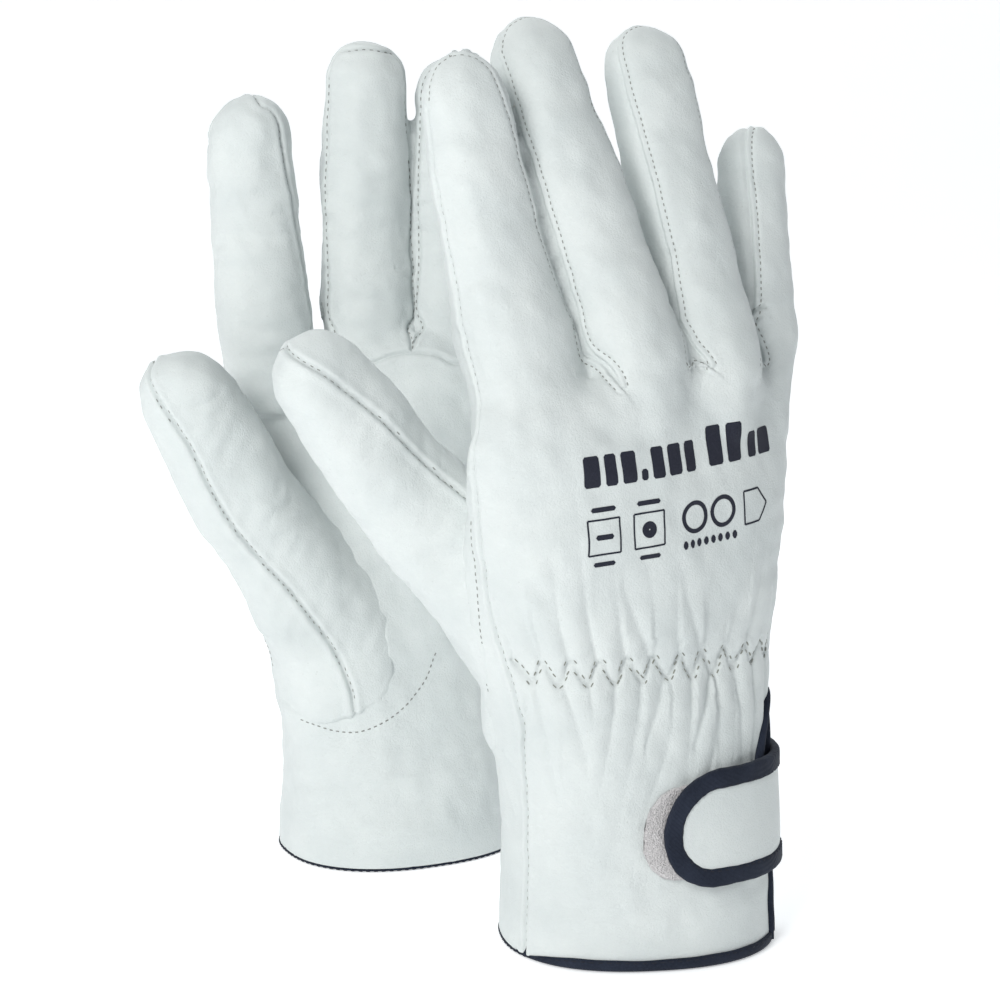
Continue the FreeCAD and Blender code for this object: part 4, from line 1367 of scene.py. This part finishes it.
    # its bound edge
    path = [(u, hh) for u in np.linspace(0.2, LEN - hh, 50)]
    path += [(LEN - hh + hh * math.sin(a), hh * math.cos(a)) for a in np.linspace(0.05, math.pi - 0.05, 44)]
    path += [(u, -hh) for u in np.linspace(LEN - hh, 0.2, 50)]
    path = np.array(path)
    tan = np.gradient(path, axis=0)
    tan /= np.linalg.norm(tan, axis=1)[:, None]
    pr = rounded(5.0, 2.55, 1.0, 5)
    V, ringn = [], len(pr)
    edge_line = []
    for i, (p, t) in enumerate(zip(path, tan)):
        inw = np.array([t[1], -t[0]])       # toward the middle of the tab
        if inw @ (np.array([min(p[0], LEN - hh), 0]) - p) < 0:
            inw = -inw
        wv = 1 + 0.035 * math.sin(i * 0.55) + 0.02 * math.sin(i * 1.7)
        for a, b in pr:
            q = p + inw * (2.5 * 1.0 + a * wv)
            V.append(tab(float(q[0]), float(q[1]), 0.85 + b * (1 + 0.03 * math.sin(i * 0.8))))
        q = p + inw * 4.35
        edge_line.append(tab(float(q[0]), float(q[1]), 2.0))
    F = []
    m2 = len(path)
    for i in range(m2 - 1):
        for j in range(ringn):
            k = (j + 1) % ringn
            F.append((i * ringn + j, i * ringn + k, (i + 1) * ringn + k, (i + 1) * ringn + j))
    F.append(tuple(range(ringn - 1, -1, -1)))
    F.append(tuple((m2 - 1) * ringn + j for j in range(ringn)))
    V = np.array(V)
    F = orient(V, F)
    build(f"{side}_tab_binding", side, V, F, M[dark], body, None, [f"{side}_strap_binding"], "dark_binding")
    bag2 = Bag()
    stitch_row(bag2, bvh(V, F), np.array(edge_line), None, None, lambda q: 0, 2.3, 1.5, 0.17, 0.02, "thread_black", rnd=rnd)
    build(f"{side}_tab_stitches", side, bag2.V[("thread_black", 0)], bag2.F[("thread_black", 0)], M["thread_black"], body)
    build(f"{side}_hem_stitches", side, bag.V[("thread_black", 0)], bag.F[("thread_black", 0)], M["thread_black"], hand)

    # patches: brushed loop on the back of the cuff, hook tape under the tab
    def patch(name, d0, d1, za, zb, off0, off1, material, owner, node, slot, follow, round_, rough):
        q = np.linspace(d0, d1, 60)
        line = hand_pt(side, np.full(60, (za + zb) / 2), q, off1)
        s = np.concatenate([[0], np.cumsum(np.linalg.norm(np.diff(line, axis=0), axis=1))])
        L, H = s[-1], (zb - za) / 2
        mid = (za + zb) / 2
        us = list(np.linspace(0, L - round_, 30)) + [L - round_ + round_ * math.sin(a) for a in np.linspace(0.1, math.pi / 2, 12)]
        V, F = [], []
        nvv = 26
        for layer, off in ((0, off1), (1, off0)):
            for u in us:
                h = H if u <= L - round_ else H - round_ + round_ * math.sqrt(max(0.0, 1 - ((u - L + round_) / round_) ** 2))
                for j in range(nvv):
                    v = -h + 2 * h * j / (nvv - 1)
                    uu = u + rnd.uniform(-1, 1) * rough * (0.35 if j in (0, nvv - 1) or u == us[-1] else 0.15)
                    vv = v + rnd.uniform(-1, 1) * rough * (0.35 if j in (0, nvv - 1) else 0.15)
                    dd = float(np.interp(uu, s, q))
                    so = float(np.interp(dd, [r[0] for r in STRAP_OFF], [r[1] for r in STRAP_OFF])) if follow else 0.0
                    V.append(hand_pt(side, mid + vv, dd, off + so + (rnd.uniform(-1, 1) * rough * 0.3 if layer == 0 else 0.0))[0])
        m = len(us)
        for sgn in (0, 1):
            for i in range(m - 1):
                for j in range(nvv - 1):
                    a = sgn * m * nvv + i * nvv + j
                    F.append((a, a + 1, a + nvv + 1, a + nvv) if sgn == 0 else (a, a + nvv, a + nvv + 1, a + 1))
        rim = [i * nvv for i in range(m)] + [(m - 1) * nvv + j for j in range(1, nvv)] + [i * nvv + nvv - 1 for i in range(m - 2, -1, -1)] + [j for j in range(nvv - 2, 0, -1)]
        for a, b in zip(rim, rim[1:] + rim[:1]):
            F.append((a, b, b + m * nvv, a + m * nvv))
        V = np.array(V)
        build(name, side, V, orient(V, F), M[material], owner, None, [node], slot)
    patch(f"{side}_loop_pile", STRAP_TIP + 38, STRAP_TIP - 6.5, z0 + 2.0, z1 - 4.0, -0.2, 1.15, "loop", hand, f"{side}_loop_patch", "loop_tape", False, 11.0, 0.5)
    patch(f"{side}_hook_tape", STRAP_TIP + 34, STRAP_TIP + 16, z0 + 6.5, z1 - 6.5, -0.75, 0.0, "hook", body, f"{side}_hook_patch", "hook_tape", True, 3.0, 0.25)


# ---- generic print on the back of the right glove ----------------------------------------------------
def print_marks(side, info):
    """Plain blocks, discs and outlined tiles in dark ink; no lettering."""
    tree = info["tree"]
    V, F = [], []

    def project(x, z):
        o = np.array([x, -60.0, z])
        q, n, i, d = tree.ray_cast(Vector(o), Vector((0, 1, 0)), 120)
        if q is None:
            return None
        return np.array(q) + np.array(n) * 0.07

    def patch(poly_uv, ox, oz, rise=0.075):
        """A filled grid cell set: poly_uv is a list of rows of (u, v) quads."""
        o = len(V)
        pts = []
        for row in poly_uv:
            for u, v in row:
                x = ox + u
                z = oz + v + rise * u
                p = project(x, z)
                if p is None:
                    return
                pts.append(p)
        n = len(poly_uv[0])
        V.extend(pts)
        for i in range(len(poly_uv) - 1):
            for j in range(n - 1):
                a = o + i * n + j
                F.append((a, a + 1, a + n + 1, a + n))

    def bar(x0, x1, z0, z1, ox, oz, rise=0.075, r=0.5):
        nu, nv = max(3, int((x1 - x0) / 0.6) + 1), max(3, int((z1 - z0) / 0.6) + 1)
        rows = []
        for v in np.linspace(0, 1, nv):
            row = []
            for u in np.linspace(0, 1, nu):
                zz = z0 + (z1 - z0) * v
                cut = 0.0
                e = min(v, 1 - v) * (z1 - z0)
                if e < r:
                    cut = r - math.sqrt(max(0.0, r * r - (r - e) ** 2))
                row.append((x0 + cut + (x1 - x0 - 2 * cut) * u, zz))
            rows.append(row)
        patch(rows, ox, oz, rise)

    def ring(cx, cz, r0, r1, ox, oz, n=40, a0=0, a1=360):
        rows = []
        for r in (r0, (r0 + r1) / 2, r1):
            rows.append([(cx + r * math.cos(math.radians(a)), cz + r * math.sin(math.radians(a))) for a in np.linspace(a0, a1, n)])
        patch(rows, ox, oz)

    def outline(pts, w, ox, oz):
        for (xa, za), (xb, zb) in zip(pts, pts[1:]):
            n = max(3, int(math.hypot(xb - xa, zb - za) / 0.6))
            d = np.array([xb - xa, zb - za]) / max(math.hypot(xb - xa, zb - za), 1e-9)
            p = np.array([-d[1], d[0]]) * w / 2
            rows = [[(xa + (xb - xa) * k + p[0] * s, za + (zb - za) * k + p[1] * s) for k in np.linspace(0, 1, n)] for s in (-1, 1)]
            patch(rows, ox, oz)
    # first row: seven upright blocks, then three larger ones
    ox, oz = -31.0, 131.2
    x = 0.0
    for w, h in ((4.6, 8.2), (3.4, 8.2), (4.4, 8.2), (2.0, 3.0), (3.8, 8.2), (4.4, 8.2), (3.4, 8.2)):
        bar(x, x + w, 0, h, ox, oz)
        x += w + 1.5
    x += 3.0
    for w, h in ((5.0, 11.0), (5.0, 11.0)):
        bar(x, x + w, 0.4, h, ox, oz)
        x += w + 1.8
    x += 1.2
    bar(x, x + 3.4, 0.4, 7.4, ox, oz)
    x += 4.6
    bar(x, x + 5.4, 0.4, 7.4, ox, oz)
    # second row: two outlined tiles with a dot or a bar, a broken ring pair, a plain outlined disc
    ox, oz = -30.5, 113.5
    for cx, kind in ((4.5, 0), (18.0, 1)):
        k = 4.6
        outline([(cx - k, 0), (cx + k, 0), (cx + k, 9.2), (cx - k, 9.2), (cx - k, 0)], 0.5, ox, oz)
        if kind == 0:
            bar(cx - 2.6, cx + 2.6, 3.9, 5.3, ox, oz)
        else:
            ring(cx, 4.6, 0.2, 2.2, ox, oz)
        bar(cx - 3.6, cx + 3.6, 11.2, 12.5, ox, oz)
        bar(cx - 3.2, cx + 3.2, -3.2, -2.0, ox, oz)
    ring(33.0, 5.6, 3.2, 4.4, ox, oz)
    ring(42.8, 5.6, 3.2, 4.4, ox, oz)
    for k in range(8):
        bar(28.5 + k * 2.5, 30.1 + k * 2.5, -2.6, -0.4, ox, oz)
    outline([(50.5, 9.5), (56.5, 9.5), (60.0, 5.0), (56.5, 0.5), (50.5, 0.5), (50.5, 9.5)], 0.55, ox, oz)
    V_ = np.array(V)
    # faces toward the viewer of the back
    T = tri_array(F)
    n = np.cross(V_[T[:, 1]] - V_[T[:, 0]], V_[T[:, 2]] - V_[T[:, 0]])
    flip = n[:, 1] > 0
    out, k = [], 0
    for f in F:
        a, b, c = V_[f[0]], V_[f[1]], V_[f[2]]
        nn = np.cross(b - a, c - a)
        out.append(f[::-1] if nn[1] > 0 else f)
    build(f"{side}_back_print", side, V_, out, M["ink"], f"{side}_hand")


for s in SIDES:
    info = glove(s)
    trim(s, info)
    if s == "right":
        print_marks(s, info)

# ---- stage, camera, light -----------------------------------------------------------------------------
me = bpy.data.meshes.new("floor")
pts, faces = [], []
prof = [(-1.6, 0.0), (0.9, 0.0)] + [(0.9 + 0.6 * math.sin(a), 0.6 - 0.6 * math.cos(a)) for a in np.linspace(0.1, math.pi / 2, 14)] + [(1.5, 2.6)]
for y, z in prof:
    pts += [(-3.0, y, z - 0.0004), (3.0, y, z - 0.0004)]
faces = [(2 * i, 2 * i + 1, 2 * i + 3, 2 * i + 2) for i in range(len(prof) - 1)]
me.from_pydata(pts, [], faces)
me.polygons.foreach_set("use_smooth", [True] * len(me.polygons))
floor = bpy.data.objects.new("floor", me)
bpy.context.scene.collection.objects.link(floor)
fm, nt, bs, mp = mat("floor_white")
nt.links.new(mix(nt, noise(nt, mp, 0.01, 1.0).outputs[0], (0.93, 0.935, 0.94), (0.95, 0.955, 0.96)), bs.inputs["Base Color"])
bs.inputs["Roughness"].default_value = 0.9
bs.inputs["Emission Color"].default_value = (0.97, 0.985, 1.0, 1.0)
bs.inputs["Emission Strength"].default_value = 0.42
me.materials.append(fm)

TARGET = Vector((0.010548, -0.003084, 0.128))
D, ELEV = 0.640, math.radians(8.0)
cam = bpy.data.cameras.new("camera")
cam.lens, cam.sensor_width, cam.shift_y = 78.0, 36.0, -0.037
cam.dof.use_dof = False
co = bpy.data.objects.new("camera", cam)
bpy.context.scene.collection.objects.link(co)
co.location = TARGET + Vector((0, -D * math.cos(ELEV), D * math.sin(ELEV)))
co.rotation_euler = (TARGET - co.location).to_track_quat("-Z", "Y").to_euler()
bpy.context.scene.camera = co


def area(name, loc, aim, size, power, color):
    l = bpy.data.lights.new(name, "AREA")
    l.shape, l.size, l.size_y, l.energy, l.color = "RECTANGLE", size[0], size[1], power, color
    o = bpy.data.objects.new(name, l)
    bpy.context.scene.collection.objects.link(o)
    o.location = loc
    o.rotation_euler = (Vector(aim) - Vector(loc)).to_track_quat("-Z", "Y").to_euler()


area("key", (-0.55, -0.95, 0.75), (0, 0, 0.12), (0.6, 0.6), 11.5, (1.0, 1.0, 0.985))
area("fill", (0.95, -0.35, 0.35), (0, 0, 0.12), (0.5, 0.8), 0.6, (0.90, 0.97, 1.0))
area("top", (0.0, 0.55, 0.95), (0, 0, 0.1), (0.8, 0.5), 2.4, (0.97, 0.99, 1.0))
w = bpy.data.worlds.new("studio")
bpy.context.scene.world = w
bpy.context.scene.view_settings.view_transform = "Standard"
w.use_nodes = True
w.node_tree.nodes["Background"].inputs[0].default_value = (0.93, 0.97, 1.0, 1)
w.node_tree.nodes["Background"].inputs[1].default_value = 0.29
